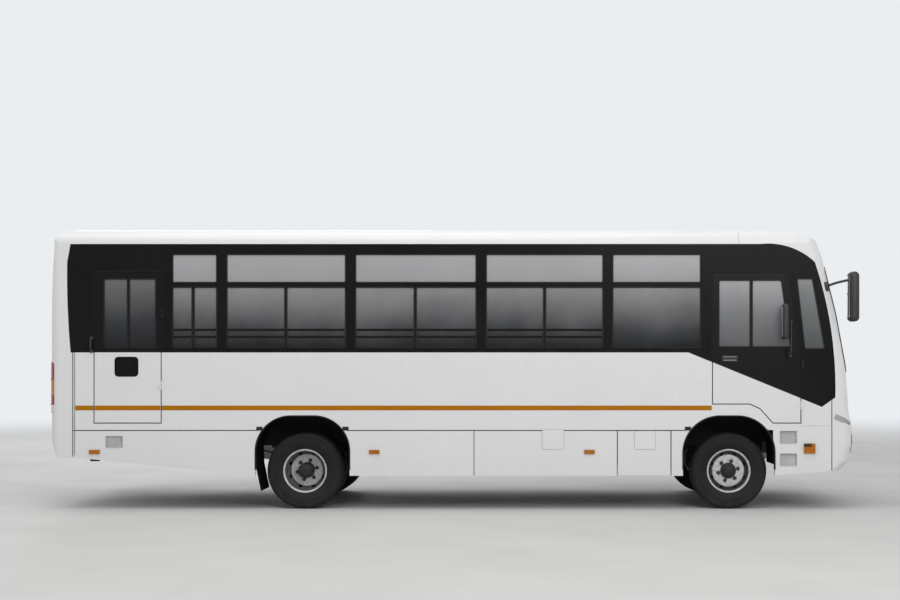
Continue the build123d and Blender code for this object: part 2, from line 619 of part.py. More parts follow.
with BuildPart() as driver_door:
    with BuildSketch(Plane.XZ.offset(HALF_WIDTH - DOOR_THICK)) as driver_leaf:
        Polygon(*DRIVER_OUTLINE, align=None)
        offset(amount=-DOOR_GAP, kind=Kind.INTERSECTION)
    extrude(amount=DOOR_THICK)
    with BuildSketch(Plane.XZ.offset(1000)):
        Polygon(*DRIVER_PANE, align=None)
        with Locations((DRIVER_UPRIGHT_X, 2200)):
            Rectangle(UPRIGHT, 1000, mode=Mode.SUBTRACT)
    extrude(amount=300, mode=Mode.SUBTRACT)
    # the cup of the outer handle with its two bars across it
    add(span_box(HANDLE_CUP, -HALF_WIDTH, PULL_DEEP), mode=Mode.SUBTRACT)
    for z in (HANDLE_CUP[2] + 1.5 * HANDLE_BAR, HANDLE_CUP[3] - 1.5 * HANDLE_BAR):
        with Locations(((HANDLE_CUP[0] + HANDLE_CUP[1]) / 2, HANDLE_BAR / 2 - HALF_WIDTH, z)):
            Box(HANDLE_CUP[1] - HANDLE_CUP[0], HANDLE_BAR, HANDLE_BAR)
    for z in DRIVER_HINGE_ZS:
        add(hinge_half(DRIVER_HINGE_X, z, True))
driver_door.part.label = "driver_door"
export_step(driver_door.part, "parts/driver_door.step")

with BuildPart() as driver_glass:
    with BuildSketch(Plane.XZ.offset(HALF_WIDTH - GLASS_INSET - GLASS)):
        Polygon(*DRIVER_PANE, align=None)
        with Locations((DRIVER_UPRIGHT_X, 2200)):
            Rectangle(UPRIGHT, 1000, mode=Mode.SUBTRACT)
    extrude(amount=GLASS)
driver_glass.part.label = "driver_door_glass"
export_step(driver_glass.part, "parts/driver_door_glass.step")

with BuildPart() as door_hinges:
    for z in DRIVER_HINGE_ZS:
        add(hinge_half(DRIVER_HINGE_X, z, False))
    for z in EMERGENCY_HINGE_ZS:
        add(hinge_half(EMERGENCY_HINGE_X, z, False))
door_hinges.part.label = "door_hinges"
export_step(door_hinges.part, "parts/door_hinges.step")

# Service door: two leaves that fold inward, the front one hung on the front post
LEAF_GAP = 6.0
LEAF_MID = (SERVICE[0] + SERVICE[1]) / 2
LEAF_FRAME = 55.0
LEAF_RAIL_Z = 1330.0
LEAF_LOW = SERVICE[2] + DOOR_GAP
LEAF_HIGH = SERVICE[3] - DOOR_GAP
LEAVES = [
    # name, x of its two edges
    ("front", LEAF_MID + LEAF_GAP / 2, SERVICE[1] - LEAF_GAP),
    ("rear", SERVICE[0] + LEAF_GAP, LEAF_MID - LEAF_GAP / 2),
]
for name, x0, x1 in LEAVES:
    middle = (x0 + x1) / 2
    pane_wide = x1 - x0 - 2 * LEAF_FRAME
    panes = [(LEAF_LOW + 3 * LEAF_FRAME, LEAF_RAIL_Z), (LEAF_RAIL_Z + LEAF_FRAME, LEAF_HIGH - LEAF_FRAME)]
    with BuildPart() as leaf:
        with BuildSketch(Plane.XZ.offset(-HALF_WIDTH)):
            with Locations((middle, (LEAF_LOW + LEAF_HIGH) / 2)):
                Rectangle(x1 - x0, LEAF_HIGH - LEAF_LOW)
            for z0, z1 in panes:
                with Locations((middle, (z0 + z1) / 2)):
                    Rectangle(pane_wide, z1 - z0, mode=Mode.SUBTRACT)
        extrude(amount=DOOR_THICK)
    leaf.part.label = f"service_door_{name}"
    export_step(leaf.part, f"parts/service_door_{name}.step")
    with BuildPart() as leaf_glass:
        with BuildSketch(Plane.XZ.offset(-HALF_WIDTH + GLASS_INSET)):
            for z0, z1 in panes:
                with Locations((middle, (z0 + z1) / 2)):
                    Rectangle(pane_wide, z1 - z0)
        extrude(amount=-GLASS)
    leaf_glass.part.label = f"service_door_{name}_glass"
    export_step(leaf_glass.part, f"parts/service_door_{name}_glass.step")

# Ladder frame: two channel rails with the towing eyes on their ends
RAIL_REAR_X = -4380.0
RAIL_FRONT_X = 4330.0
TOW_HOLE_R = 20.0
TOW_PLATE = 24.0
TOW_REACH = 110.0
TOW_REAR_X = -4320.0
TOW_REAR_Z = 560.0
TOW_HANG = 200.0
TOW_FRONT_X = 4365.0
TOW_Y = 392.0

with BuildPart() as chassis_frame:
    with BuildSketch(Plane.YZ.offset(RAIL_REAR_X)):
        for hand in (-1, 1):
            with Locations((hand * (RAIL_OUT - RAIL_FLANGE / 2), (RAIL_TOP + RAIL_LOW) / 2)):
                Rectangle(RAIL_FLANGE, RAIL_HIGH)
            with Locations((hand * (RAIL_OUT - RAIL_WALL - RAIL_FLANGE / 2), (RAIL_TOP + RAIL_LOW) / 2)):
                Rectangle(RAIL_FLANGE, RAIL_HIGH - 2 * RAIL_WALL, mode=Mode.SUBTRACT)
    extrude(amount=RAIL_FRONT_X - RAIL_REAR_X)
    # rear: upright plates, pinned across the bus
    with Locations((TOW_REAR_X, 0, RAIL_LOW - TOW_HANG / 2 + RAIL_WALL)):
        with GridLocations(0, 2 * TOW_Y, 1, 2):
            Box(TOW_REACH, TOW_PLATE, TOW_HANG)
    with Locations(Location((TOW_REAR_X, 0, TOW_REAR_Z), (90, 0, 0))):
        Cylinder(TOW_HOLE_R, 2 * RAIL_OUT, mode=Mode.SUBTRACT)
    # front: level plates under the rail ends, pinned from below
    with Locations((TOW_FRONT_X, 0, RAIL_LOW - TOW_PLATE / 2)):
        with GridLocations(0, 2 * TOW_Y, 1, 2):
            Box(TOW_REACH, RAIL_FLANGE + TOW_PLATE, TOW_PLATE)
            Cylinder(TOW_HOLE_R, 2 * TOW_PLATE, mode=Mode.SUBTRACT)
chassis_frame.part.label = "chassis_frame"
export_step(chassis_frame.part, "parts/chassis_frame.step")

# Cross members between the rails' webs, one of them over the shaft's middle bearing
CROSS_XS = [-4200, -3300, -2350, -1000, 1300, 2380, 4180]
CROSS_WIDE = 70.0
CROSS_HIGH = 60.0
SHAFT_MID = (500.0, 640.0)
BEARING_HALF = 65.0
with BuildPart() as cross_members:
    for x in CROSS_XS:
        with Locations((x, 0, RAIL_TOP - RAIL_WALL - CROSS_HIGH / 2)):
            Box(CROSS_WIDE, 2 * (RAIL_OUT - RAIL_WALL), CROSS_HIGH)
    with Locations((SHAFT_MID[0], 0, SHAFT_MID[1] + BEARING_HALF + CROSS_HIGH / 2)):
        Box(CROSS_WIDE, 2 * (RAIL_OUT - RAIL_WALL), CROSS_HIGH)
cross_members.part.label = "cross_members"
export_step(cross_members.part, "parts/cross_members.step")

# Floor bearers across the rails, and packers along them where the wheels leave no room
BEARER_XS = [-4250, -3700, -3100, -2420, -1000, -400, 300, 900, 3720]
SHORT_BEARER_XS = [1500, 2100]
BEARER_WIDE = 60.0
PACKERS = [(-2380.0, -1040.0), (2200.0, 3680.0)]
BEARER_Z = RAIL_TOP + BEARER_HIGH / 2
ENGINE_ROOM = (2960.0, 4110.0)
with BuildPart() as floor_bearers:
    for x in BEARER_XS:
        with Locations((x, 0, BEARER_Z)):
            Box(BEARER_WIDE, 2 * INNER_Y, BEARER_HIGH)
    with Locations((sum(ENGINE_ROOM) / 2, 0, BEARER_Z)):
        Box(ENGINE_ROOM[1] - ENGINE_ROOM[0], 2 * (RAIL_OUT - RAIL_FLANGE), BEARER_HIGH, mode=Mode.SUBTRACT)
    for x in SHORT_BEARER_XS:
        with Locations((x, (RAIL_OUT - INNER_Y) / 2, BEARER_Z)):
            Box(BEARER_WIDE, INNER_Y + RAIL_OUT, BEARER_HIGH)
    for x0, x1 in PACKERS:
        with Locations(((x0 + x1) / 2, 0, BEARER_Z)):
            with GridLocations(0, 2 * RAIL_OUT - RAIL_FLANGE, 1, 2):
                Box(x1 - x0, RAIL_FLANGE, BEARER_HIGH)
floor_bearers.part.label = "floor_bearers"
export_step(floor_bearers.part, "parts/floor_bearers.step")

# Wheel arch liners: bent sheets with a part wall on the inner side
LINER_Y = INNER_Y - 2
LINER_FOOT = 500.0
MUD_FLAP_TOP = 600.0
MUD_FLAP_LOW = 205.0
MUD_FLAP_LEAN = 60.0
MUD_FLAP_IN = 20.0
with BuildPart() as arch_liners:
    for arch in (REAR_ARCH, FRONT_ARCH):
        with BuildSketch(Plane.XZ.offset(LINER_IN_Y)):
            add(arch_sketch((arch[0] - LINER_SIDE, arch[1] + LINER_SIDE, arch[2]), ARCH_TOP + LINER, 0.0))
            add(arch_sketch((arch[0] - LINER_SIDE + LINER, arch[1] + LINER_SIDE - LINER, arch[2] - LINER), ARCH_TOP, 0.0), mode=Mode.SUBTRACT)
            with Locations(((arch[0] + arch[1]) / 2, 0)):
                Rectangle(2000, 2 * LINER_FOOT, mode=Mode.SUBTRACT)
        extrude(amount=LINER_Y - LINER_IN_Y)
    # the mud flap hangs from the rear liner's hind wall
    with BuildSketch(Plane.XZ.offset(LINER_IN_Y + MUD_FLAP_IN)):
        with BuildLine():
            hang_x = REAR_ARCH[0] - LINER_SIDE + LINER
            Polyline(
                (hang_x, MUD_FLAP_TOP), (hang_x, LINER_FOOT), (hang_x + MUD_FLAP_LEAN, MUD_FLAP_LOW),
                (hang_x + MUD_FLAP_LEAN + LINER, MUD_FLAP_LOW), (hang_x + LINER, LINER_FOOT),
                (hang_x + LINER, MUD_FLAP_TOP), (hang_x, MUD_FLAP_TOP),
            )
        make_face()
    extrude(amount=LINER_Y - LINER_IN_Y - 2 * MUD_FLAP_IN)
    mirror(about=Plane.XZ)
arch_liners.part.label = "arch_liners"
export_step(arch_liners.part, "parts/arch_liners.step")

# Floor with the raised boxes over the wheels and the step well behind the left front wheel
FLOOR_REAR_X = -4465.0
FLOOR_FRONT_X = 4200.0
WELL_CUTS = [(-2175.0, -1270.0), (2670.0, 3527.0)]
SHEET = 12.0
WELL_IN_Y = 450.0
WELL_STEP_Y = 735.0
STEP_LOW = 392.0
STEP_MID = 690.0
TREAD = 25.0
ENGINE_CUT = (*ENGINE_ROOM, 380.0)

with BuildPart() as floor:
    with Locations(((FLOOR_REAR_X + FLOOR_FRONT_X) / 2, 0, (FLOOR_TOP + FLOOR_LOW) / 2)):
        Box(FLOOR_FRONT_X - FLOOR_REAR_X, 2 * INNER_Y, FLOOR_THICK)
    for x0, x1 in WELL_CUTS:
        with Locations(((x0 + x1) / 2, 0, (FLOOR_TOP + WELL_BOX_TOP) / 2)):
            with GridLocations(0, INNER_Y + LINER_IN_Y - SHEET, 1, 2):
                Box(x1 - x0 + 2 * SHEET, INNER_Y - LINER_IN_Y + SHEET, WELL_BOX_TOP - FLOOR_TOP)
    for x0, x1 in WELL_CUTS:
        with Locations(((x0 + x1) / 2, 0, (FLOOR_LOW + WELL_BOX_TOP - SHEET) / 2)):
            with GridLocations(0, INNER_Y + LINER_IN_Y, 1, 2):
                Box(x1 - x0, INNER_Y - LINER_IN_Y, WELL_BOX_TOP - SHEET - FLOOR_LOW, mode=Mode.SUBTRACT)
    with Locations(((ENGINE_CUT[0] + ENGINE_CUT[1]) / 2, 0, (FLOOR_TOP + FLOOR_LOW) / 2)):
        Box(ENGINE_CUT[1] - ENGINE_CUT[0], 2 * ENGINE_CUT[2], FLOOR_THICK, mode=Mode.SUBTRACT)
    with BuildSketch(Plane.YZ.offset(SERVICE[0] - SHEET)):
        with BuildLine():
            Polyline((WELL_IN_Y, FLOOR_TOP), (WELL_IN_Y, STEP_MID - TREAD), (WELL_STEP_Y, STEP_MID - TREAD), (WELL_STEP_Y, STEP_LOW - TREAD), (INNER_Y, STEP_LOW - TREAD), (INNER_Y, FLOOR_TOP), (WELL_IN_Y, FLOOR_TOP))
        make_face()
    extrude(amount=SERVICE[1] - SERVICE[0] + 2 * SHEET)
    with BuildSketch(Plane.YZ.offset(SERVICE[0])):
        with BuildLine():
            Polyline((WELL_IN_Y + SHEET, FLOOR_TOP), (WELL_IN_Y + SHEET, STEP_MID), (WELL_STEP_Y + SHEET, STEP_MID), (WELL_STEP_Y + SHEET, STEP_LOW), (HALF_WIDTH, STEP_LOW), (HALF_WIDTH, FLOOR_TOP), (WELL_IN_Y + SHEET, FLOOR_TOP))
        make_face()
    extrude(amount=SERVICE[1] - SERVICE[0], mode=Mode.SUBTRACT)
floor.part.label = "floor"
export_step(floor.part, "parts/floor.step")

# Engine and gearbox as one plain block, radiator in front, cover above
ENGINE = (3150.0, 4000.0, 260.0, 600.0, 1240.0)
GEARBOX = (2520.0, 3150.0, 160.0, 620.0, 920.0)
with BuildPart() as engine_block:
    with Locations(((ENGINE[0] + ENGINE[1]) / 2, 0, (ENGINE[3] + ENGINE[4]) / 2)):
        Box(ENGINE[1] - ENGINE[0], 2 * ENGINE[2], ENGINE[4] - ENGINE[3])
    with Locations(((GEARBOX[0] + GEARBOX[1]) / 2, 0, (GEARBOX[3] + GEARBOX[4]) / 2)):
        Box(GEARBOX[1] - GEARBOX[0], 2 * GEARBOX[2], GEARBOX[4] - GEARBOX[3])
    for x in (3300, 3800):
        with Locations((x, 0, RAIL_LOW + 60)):
            Box(80, 2 * (RAIL_OUT - RAIL_WALL), 60)
engine_block.part.label = "engine_block"
export_step(engine_block.part, "parts/engine_block.step")

with BuildPart() as radiator:
    with Locations((4270, 0, 760)):
        Box(60, 2 * (RAIL_OUT - RAIL_FLANGE), 340)
radiator.part.label = "radiator"
export_step(radiator.part, "parts/radiator.step")

COVER = (2930.0, 4140.0, 410.0, 1330.0)
with BuildPart() as engine_cover:
    with Locations(((COVER[0] + COVER[1]) / 2, 0, (FLOOR_TOP + COVER[3]) / 2)):
        Box(COVER[1] - COVER[0], 2 * COVER[2], COVER[3] - FLOOR_TOP)
    fillet(engine_cover.edges().filter_by(Axis.Z), 50)
    chamfer(engine_cover.faces().sort_by(Axis.Z)[-1].edges(), 30)
    with Locations(((COVER[0] + COVER[1]) / 2, 0, (FLOOR_TOP + COVER[3]) / 2 - SHEET)):
        Box(COVER[1] - COVER[0] - 4 * SHEET, 2 * COVER[2] - 4 * SHEET, COVER[3] - FLOOR_TOP, mode=Mode.SUBTRACT)
engine_cover.part.label = "engine_cover"
export_step(engine_cover.part, "parts/engine_cover.step")

# Axles and springs
SPRING_Y = 520.0
SPRING_WIDE = 80.0
SPRING_LEAVES = 5
LEAF_THICK = 11.0
KING_Y = 880.0
KING_R = 22.0
BEAM_DROP = 60.0
BOSS_R = 42.0
BOSS_HALF = 45.0
AXLE_TUBE_R = 65.0
SPRING_EYE_Z = 640.0


def spring_sketch(seat_z, reach):
    """Side view of a leaf spring: a main leaf bent up to its two eyes and shorter leaves under it."""
    with BuildSketch() as pack:
        with BuildLine():
            rise = SPRING_EYE_Z - seat_z - SPRING_LEAVES * LEAF_THICK
            top = seat_z + SPRING_LEAVES * LEAF_THICK
            ThreePointArc((-reach, top + rise), (0, top), (reach, top + rise))
            Line((reach, top + rise), (reach, top + rise - LEAF_THICK))
            Polyline((reach, top + rise - LEAF_THICK), (110, seat_z), (-110, seat_z), (-reach, top + rise - LEAF_THICK))
            Line((-reach, top + rise - LEAF_THICK), (-reach, top + rise))
        make_face()
    return pack.sketch


with BuildPart() as front_axle:
    with BuildSketch(Plane.YZ.offset(FRONT_AXLE_X - 35)):
        with BuildLine():
            low = AXLE_Z - BEAM_DROP
            Polyline(
                (-KING_Y, AXLE_Z - BOSS_HALF + 10), (80 - KING_Y, AXLE_Z - BOSS_HALF + 10), (-700, low - 50), (700, low - 50),
                (KING_Y - 80, AXLE_Z - BOSS_HALF + 10), (KING_Y, AXLE_Z - BOSS_HALF + 10),
                (KING_Y, AXLE_Z + BOSS_HALF - 10), (700, low + 60), (-700, low + 60), (-KING_Y, AXLE_Z + BOSS_HALF - 10),
                (-KING_Y, AXLE_Z - BOSS_HALF + 10),
            )
        make_face()
    extrude(amount=70)
    for hand in (-1, 1):
        with Locations((FRONT_AXLE_X, hand * KING_Y, AXLE_Z)):
            Cylinder(BOSS_R, 2 * BOSS_HALF)
            Cylinder(KING_R + RUN_FIT, 2 * BOSS_HALF + 10, mode=Mode.SUBTRACT)
front_axle.part.label = "front_axle"
export_step(front_axle.part, "parts/front_axle.step")

FRONT_SEAT_Z = AXLE_Z - BEAM_DROP + 60
with BuildPart() as leaf_springs:
    for x, seat, reach in ((FRONT_AXLE_X, FRONT_SEAT_Z, 500.0), (REAR_AXLE_X, AXLE_Z + AXLE_TUBE_R, 620.0)):
        for hand in (-1, 1):
            with BuildSketch(Plane((x, hand * SPRING_Y, 0), x_dir=(1, 0, 0), z_dir=(0, -1, 0))):
                add(spring_sketch(seat, reach))
            extrude(amount=SPRING_WIDE / 2, both=True)
            for end in (-1, 1):
                with Locations((x + end * (reach + 10), hand * (RAIL_OUT + (SPRING_Y + SPRING_WIDE / 2 - RAIL_OUT) / 2), SPRING_EYE_Z + 25)):
                    Box(60, SPRING_Y + SPRING_WIDE / 2 - RAIL_OUT, 130)
leaf_springs.part.label = "leaf_springs"
export_step(leaf_springs.part, "parts/leaf_springs.step")

REAR_SPINDLE_R = 45.0
REAR_SPINDLE_END = 1000.0
REAR_TUBE_END = 820.0
BANJO_R = 190.0
BANJO_HALF = 90.0
with BuildPart() as rear_axle:
    with BuildSketch(Plane((REAR_AXLE_X, 0, AXLE_Z), x_dir=(1, 0, 0), z_dir=(0, -1, 0))):
        Circle(REAR_SPINDLE_R)
    extrude(amount=REAR_SPINDLE_END, both=True)
    with BuildSketch(Plane((REAR_AXLE_X, 0, AXLE_Z), x_dir=(1, 0, 0), z_dir=(0, -1, 0))):
        Circle(AXLE_TUBE_R)
    extrude(amount=REAR_TUBE_END, both=True)
    with BuildSketch(Plane((REAR_AXLE_X - BANJO_HALF, 0, AXLE_Z), x_dir=(0, 1, 0), z_dir=(1, 0, 0))):
        Circle(BANJO_R)
    extrude(amount=2 * BANJO_HALF)
    with BuildSketch(Plane((REAR_AXLE_X + BANJO_HALF, 0, AXLE_Z + 20), x_dir=(0, 1, 0), z_dir=(1, 0, 0))):
        Circle(75)
    extrude(amount=200)
rear_axle.part.label = "rear_axle"
export_step(rear_axle.part, "parts/rear_axle.step")

# Propeller shaft from the gearbox to the rear axle
SHAFT_R = 45.0
SHAFT_REAR = (REAR_AXLE_X + 310, AXLE_Z + 20)
SHAFT_FRONT = (2490.0, 740.0)
with BuildPart() as propeller_shaft:
    for (x0, z0), (x1, z1) in ((SHAFT_REAR, SHAFT_MID), (SHAFT_MID, SHAFT_FRONT)):
        run = Vector(x1 - x0, 0, z1 - z0)
        with BuildSketch(Plane(origin=(x0, 0, z0), z_dir=run)):
            Circle(SHAFT_R)
        extrude(amount=run.length)
    for x, z in ((SHAFT_REAR[0] - 10, SHAFT_REAR[1]), (SHAFT_FRONT[0] + 20, SHAFT_FRONT[1])):
        with Locations(Location((x, 0, z), (0, 90, 0))):
            Cylinder(62, 20)
    for x, z in (SHAFT_REAR, (SHAFT_FRONT[0] + 2, SHAFT_FRONT[1])):
        with Locations((x, 0, z)):
            Box(40, 56, 56)
    with Locations((SHAFT_MID[0], 0, SHAFT_MID[1])):
        Box(2 * BEARING_HALF, 2 * BEARING_HALF, 2 * BEARING_HALF)
propeller_shaft.part.label = "propeller_shaft"
export_step(propeller_shaft.part, "parts/propeller_shaft.step")

# Steering knuckles: a fork around the axle's eye, its kingpin, the stub axle and the arm
STEER_ARM_X = FRONT_AXLE_X - 190
STEER_ARM_Y = KING_Y
STEER_ROD_Z = 330.0
EYE_R = 15.0
FRONT_SPINDLE_END = 1110.0
FORK_THICK = 24.0
FORK_CLEAR = 1.0
for name, hand in (("right", -1), ("left", 1)):
    with BuildPart() as knuckle:
        with Locations((FRONT_AXLE_X, hand * KING_Y, AXLE_Z)):
            Cylinder(KING_R, 2 * (BOSS_HALF + FORK_THICK))
        for level in (-1, 1):
            with Locations((FRONT_AXLE_X, hand * (KING_Y + 20), AXLE_Z + level * (BOSS_HALF + FORK_CLEAR + FORK_THICK / 2))):
                Box(80, 120, FORK_THICK)
        with Locations((FRONT_AXLE_X, hand * (KING_Y + 65), AXLE_Z)):
            Box(80, 30, 2 * (BOSS_HALF + FORK_CLEAR + FORK_THICK))
        with BuildSketch(Plane((FRONT_AXLE_X, hand * (KING_Y + 78), AXLE_Z), x_dir=(1, 0, 0), z_dir=(0, hand, 0))):
            Circle(SPINDLE_R)
        extrude(amount=FRONT_SPINDLE_END - KING_Y - 78)
        with Locations(((FRONT_AXLE_X + STEER_ARM_X) / 2 - 10, hand * STEER_ARM_Y, AXLE_Z - BOSS_HALF - FORK_THICK / 2 - FORK_CLEAR)):
            Box(FRONT_AXLE_X - STEER_ARM_X + 60, 50, FORK_THICK)
        with Locations((STEER_ARM_X, hand * STEER_ARM_Y, (STEER_ROD_Z + AXLE_Z - BOSS_HALF) / 2 - 6)):
            Cylinder(EYE_R, AXLE_Z - BOSS_HALF - STEER_ROD_Z)
    knuckle.part.label = f"knuckle_{name}"
    export_step(knuckle.part, f"parts/knuckle_{name}.step")

# Tie rod across the car, with an eye on each knuckle's ball stud
ROD_R = 14.0
ROD_EYE_R = 30.0
ROD_EYE_HIGH = 26.0
with BuildPart() as tie_rod:
    with BuildSketch(Plane((STEER_ARM_X, -STEER_ARM_Y, STEER_ROD_Z), x_dir=(1, 0, 0), z_dir=(0, 1, 0))):
        Circle(ROD_R)
    extrude(amount=2 * STEER_ARM_Y)
    for hand in (-1, 1):
        with Locations((STEER_ARM_X, hand * STEER_ARM_Y, STEER_ROD_Z)):
            Cylinder(ROD_EYE_R, ROD_EYE_HIGH)
    for hand, slack in ((-1, RUN_FIT), (1, 0.5)):
        with Locations((STEER_ARM_X, hand * STEER_ARM_Y, STEER_ROD_Z)):
            Cylinder(EYE_R + slack, ROD_EYE_HIGH + 10, mode=Mode.SUBTRACT)
tie_rod.part.label = "tie_rod"
export_step(tie_rod.part, "parts/tie_rod.step")

# Tyres: rings of flat sides with sloped shoulders, on rims with flat sides too
TYRE_SIDES = 48
WHEEL_SIDES = 36
SHOULDER = 32.0
WHEEL_SPOTS = [
    # name, axle x, side, middle planes of its tyres
    ("front_right", FRONT_AXLE_X, -1, [TRACK_OUT]),
    ("front_left", FRONT_AXLE_X, 1, [TRACK_OUT]),
    ("rear_right", REAR_AXLE_X, -1, [TRACK_OUT, TRACK_OUT - TWIN_PITCH]),
    ("rear_left", REAR_AXLE_X, 1, [TRACK_OUT, TRACK_OUT - TWIN_PITCH]),
]
for name, axle_x, hand, planes in WHEEL_SPOTS:
    with BuildPart() as tyre:
        for y in planes:
            middle = Plane((axle_x, hand * y, AXLE_Z), x_dir=(0, 0, 1), z_dir=(0, 1, 0))
            with BuildSketch(middle.offset(-TYRE_HALF)):
                RegularPolygon(TYRE_R, TYRE_SIDES)
            extrude(amount=2 * TYRE_HALF)
        chamfer(tyre.faces().filter_by(Axis.Y).edges(), SHOULDER)
        for y in planes:
            middle = Plane((axle_x, hand * y, AXLE_Z), x_dir=(0, 0, 1), z_dir=(0, 1, 0))
            with BuildSketch(middle.offset(-TYRE_HALF - 1)):
                RegularPolygon(BEAD_R + SEAT_GAP, WHEEL_SIDES)
            extrude(amount=2 * TYRE_HALF + 2, mode=Mode.SUBTRACT)
        # the outer bead stands back from the rim's flange
        with BuildSketch(Plane((axle_x, hand * (planes[0] + FLANGE_AT), AXLE_Z), x_dir=(0, 0, 1), z_dir=(0, hand, 0))):
            RegularPolygon(FLANGE_R + SEAT_GAP, WHEEL_SIDES)
        extrude(amount=TYRE_HALF, mode=Mode.SUBTRACT)
    tyre.part.label = f"tyre_{name}"
    export_step(tyre.part, f"parts/tyre_{name}.step")

# Rims: a barrel with an outer flange, a dish with vents, and the hub on its bearing
BARREL_IN_R = 222.0
DISH_THICK = 12.0
FRONT_DISH = 40.0
REAR_DISH = -82.0
HUB_R = 84.0
VENTS = 8
VENT_CIRCLE = 197.0
VENT_R = 17.0
VENT_SIDES = 8
HUB_SIDES = 18
for name, axle_x, hand, planes in WHEEL_SPOTS:
    front = len(planes) == 1
    bore_r = (SPINDLE_R if front else REAR_SPINDLE_R) + RUN_FIT
    spindle_end = FRONT_SPINDLE_END if front else REAR_SPINDLE_END
    hub_in = KING_Y + 90 if front else 830.0
    hub_out = spindle_end + (20 if front else 50)
    # outward distances of the barrels' middles and of their dishes
    dishes = [planes[0] + (FRONT_DISH if front else REAR_DISH)]
    if not front:
        dishes.append(planes[1] - REAR_DISH)
    with BuildPart() as rim:
        outward = Plane((axle_x, 0, AXLE_Z), x_dir=(0, 0, 1), z_dir=(0, hand, 0))
        for index, y in enumerate(planes):
            with BuildSketch(outward.offset(y - BARREL_HALF)):
                RegularPolygon(BEAD_R, WHEEL_SIDES)
            extrude(amount=2 * BARREL_HALF)
            if index == 0:
                with BuildSketch(outward.offset(y + BARREL_HALF - FLANGE_THICK)):
                    RegularPolygon(FLANGE_R, WHEEL_SIDES)
                extrude(amount=FLANGE_THICK)
            for start, depth in (
                (y - BARREL_HALF, dishes[index] - DISH_THICK / 2 - y + BARREL_HALF),
                (dishes[index] + DISH_THICK / 2, y + BARREL_HALF - dishes[index] - DISH_THICK / 2),
            ):
                with BuildSketch(outward.offset(start)):
                    RegularPolygon(BARREL_IN_R, WHEEL_SIDES)
                extrude(amount=depth, mode=Mode.SUBTRACT)
        with BuildSketch(outward.offset(dishes[0] - DISH_THICK)):
            with PolarLocations(VENT_CIRCLE, VENTS):
                RegularPolygon(VENT_R, VENT_SIDES)
        extrude(amount=2 * DISH_THICK, mode=Mode.SUBTRACT)
        with BuildSketch(outward.offset(hub_in)):
            RegularPolygon(HUB_R, HUB_SIDES)
        extrude(amount=hub_out - hub_in)
        with BuildSketch(outward.offset(hub_in - 20)):
            Circle(bore_r)
        extrude(amount=spindle_end + 6 - hub_in + 20, mode=Mode.SUBTRACT)
    rim.part.label = f"rim_{name}"
    export_step(rim.part, f"parts/rim_{name}.step")

# Fuel tank, battery box and exhaust under the floor
with BuildPart() as fuel_tank:
    with Locations((-150, 760, 640)):
        Box(900, 520, 400)
    fillet(fuel_tank.edges().filter_by(Axis.X), 70)
    for x in (-450, 150):
        with Locations((x, RAIL_OUT + 60, RAIL_TOP - 25)):
            Box(50, 120, 50)
fuel_tank.part.label = "fuel_tank"
export_step(fuel_tank.part, "parts/fuel_tank.step")

with BuildPart() as battery_box:
    with Locations(((FLAP[0] + FLAP[1]) / 2, -(RAIL_OUT + 1120) / 2, 650)):
        Box(500, 1120 - RAIL_OUT, 380)
battery_box.part.label = "battery_box"
export_step(battery_box.part, "parts/battery_box.step")

PIPE_R = 32.0
PIPE_Y = -600.0
PIPE_Z = 560.0
with BuildPart() as exhaust:
    with BuildSketch(Plane.YZ.offset(-900)):
        with Locations((PIPE_Y, PIPE_Z)):
            Circle(PIPE_R)
    extrude(amount=2500)
    with BuildSketch(Plane.YZ.offset(-300)):
        with Locations((PIPE_Y, PIPE_Z)):
            Circle(110)
    extrude(amount=900)
    for x in (-200, 500):
        with Locations((x, (PIPE_Y - RAIL_OUT) / 2, RAIL_LOW)):
            Box(40, -PIPE_Y - RAIL_OUT, 150)
exhaust.part.label = "exhaust"
export_step(exhaust.part, "parts/exhaust.step")

# Inside: seats in rows of two and two, a rear bench, the driver's place
SEAT_WIDE = 430.0
CUSHION_DEEP = 430.0
CUSHION_THICK = 90.0
CUSHION_TOP = FLOOR_TOP + 440.0
BACK_THICK = 80.0
BACK_HIGH = 640.0
SEAT_YS = (920.0, 470.0)
RIGHT_ROWS = [-2900, -2140, -1380, -620, 140, 900, 1660, 2395]
LEFT_ROWS = [-3660, -2900, -2140, -1380, -620, 140, 900]
BENCH_X = -4190.0
BENCH_YS = [-920.0, -460.0, 0.0, 460.0, 920.0]
DRIVER_SEAT = (3280.0, -760.0)

seat_spots = [(x, -y) for x in RIGHT_ROWS for y in SEAT_YS]
seat_spots += [(x, y) for x in LEFT_ROWS for y in SEAT_YS]
seat_spots += [(BENCH_X, y) for y in BENCH_YS]
BACK_Z = CUSHION_TOP + BACK_HIGH / 2
FRAME_THICK = 30.0
FRAME_TOP = CUSHION_TOP - CUSHION_THICK
BACK_DX = -(CUSHION_DEEP + BACK_THICK) / 2

with BuildPart() as seat_cushions:
    for x, y in seat_spots:
        with Locations((x, y, CUSHION_TOP - CUSHION_THICK / 2)):
            Box(CUSHION_DEEP, SEAT_WIDE, CUSHION_THICK)
seat_cushions.part.label = "seat_cushions"
export_step(seat_cushions.part, "parts/seat_cushions.step")

with BuildPart() as seat_backs:
    for x, y in seat_spots:
        with Locations((x + BACK_DX, y, BACK_Z - CUSHION_THICK / 2)):
            Box(BACK_THICK, SEAT_WIDE, BACK_HIGH + CUSHION_THICK)
seat_backs.part.label = "seat_backs"
export_step(seat_backs.part, "parts/seat_backs.step")

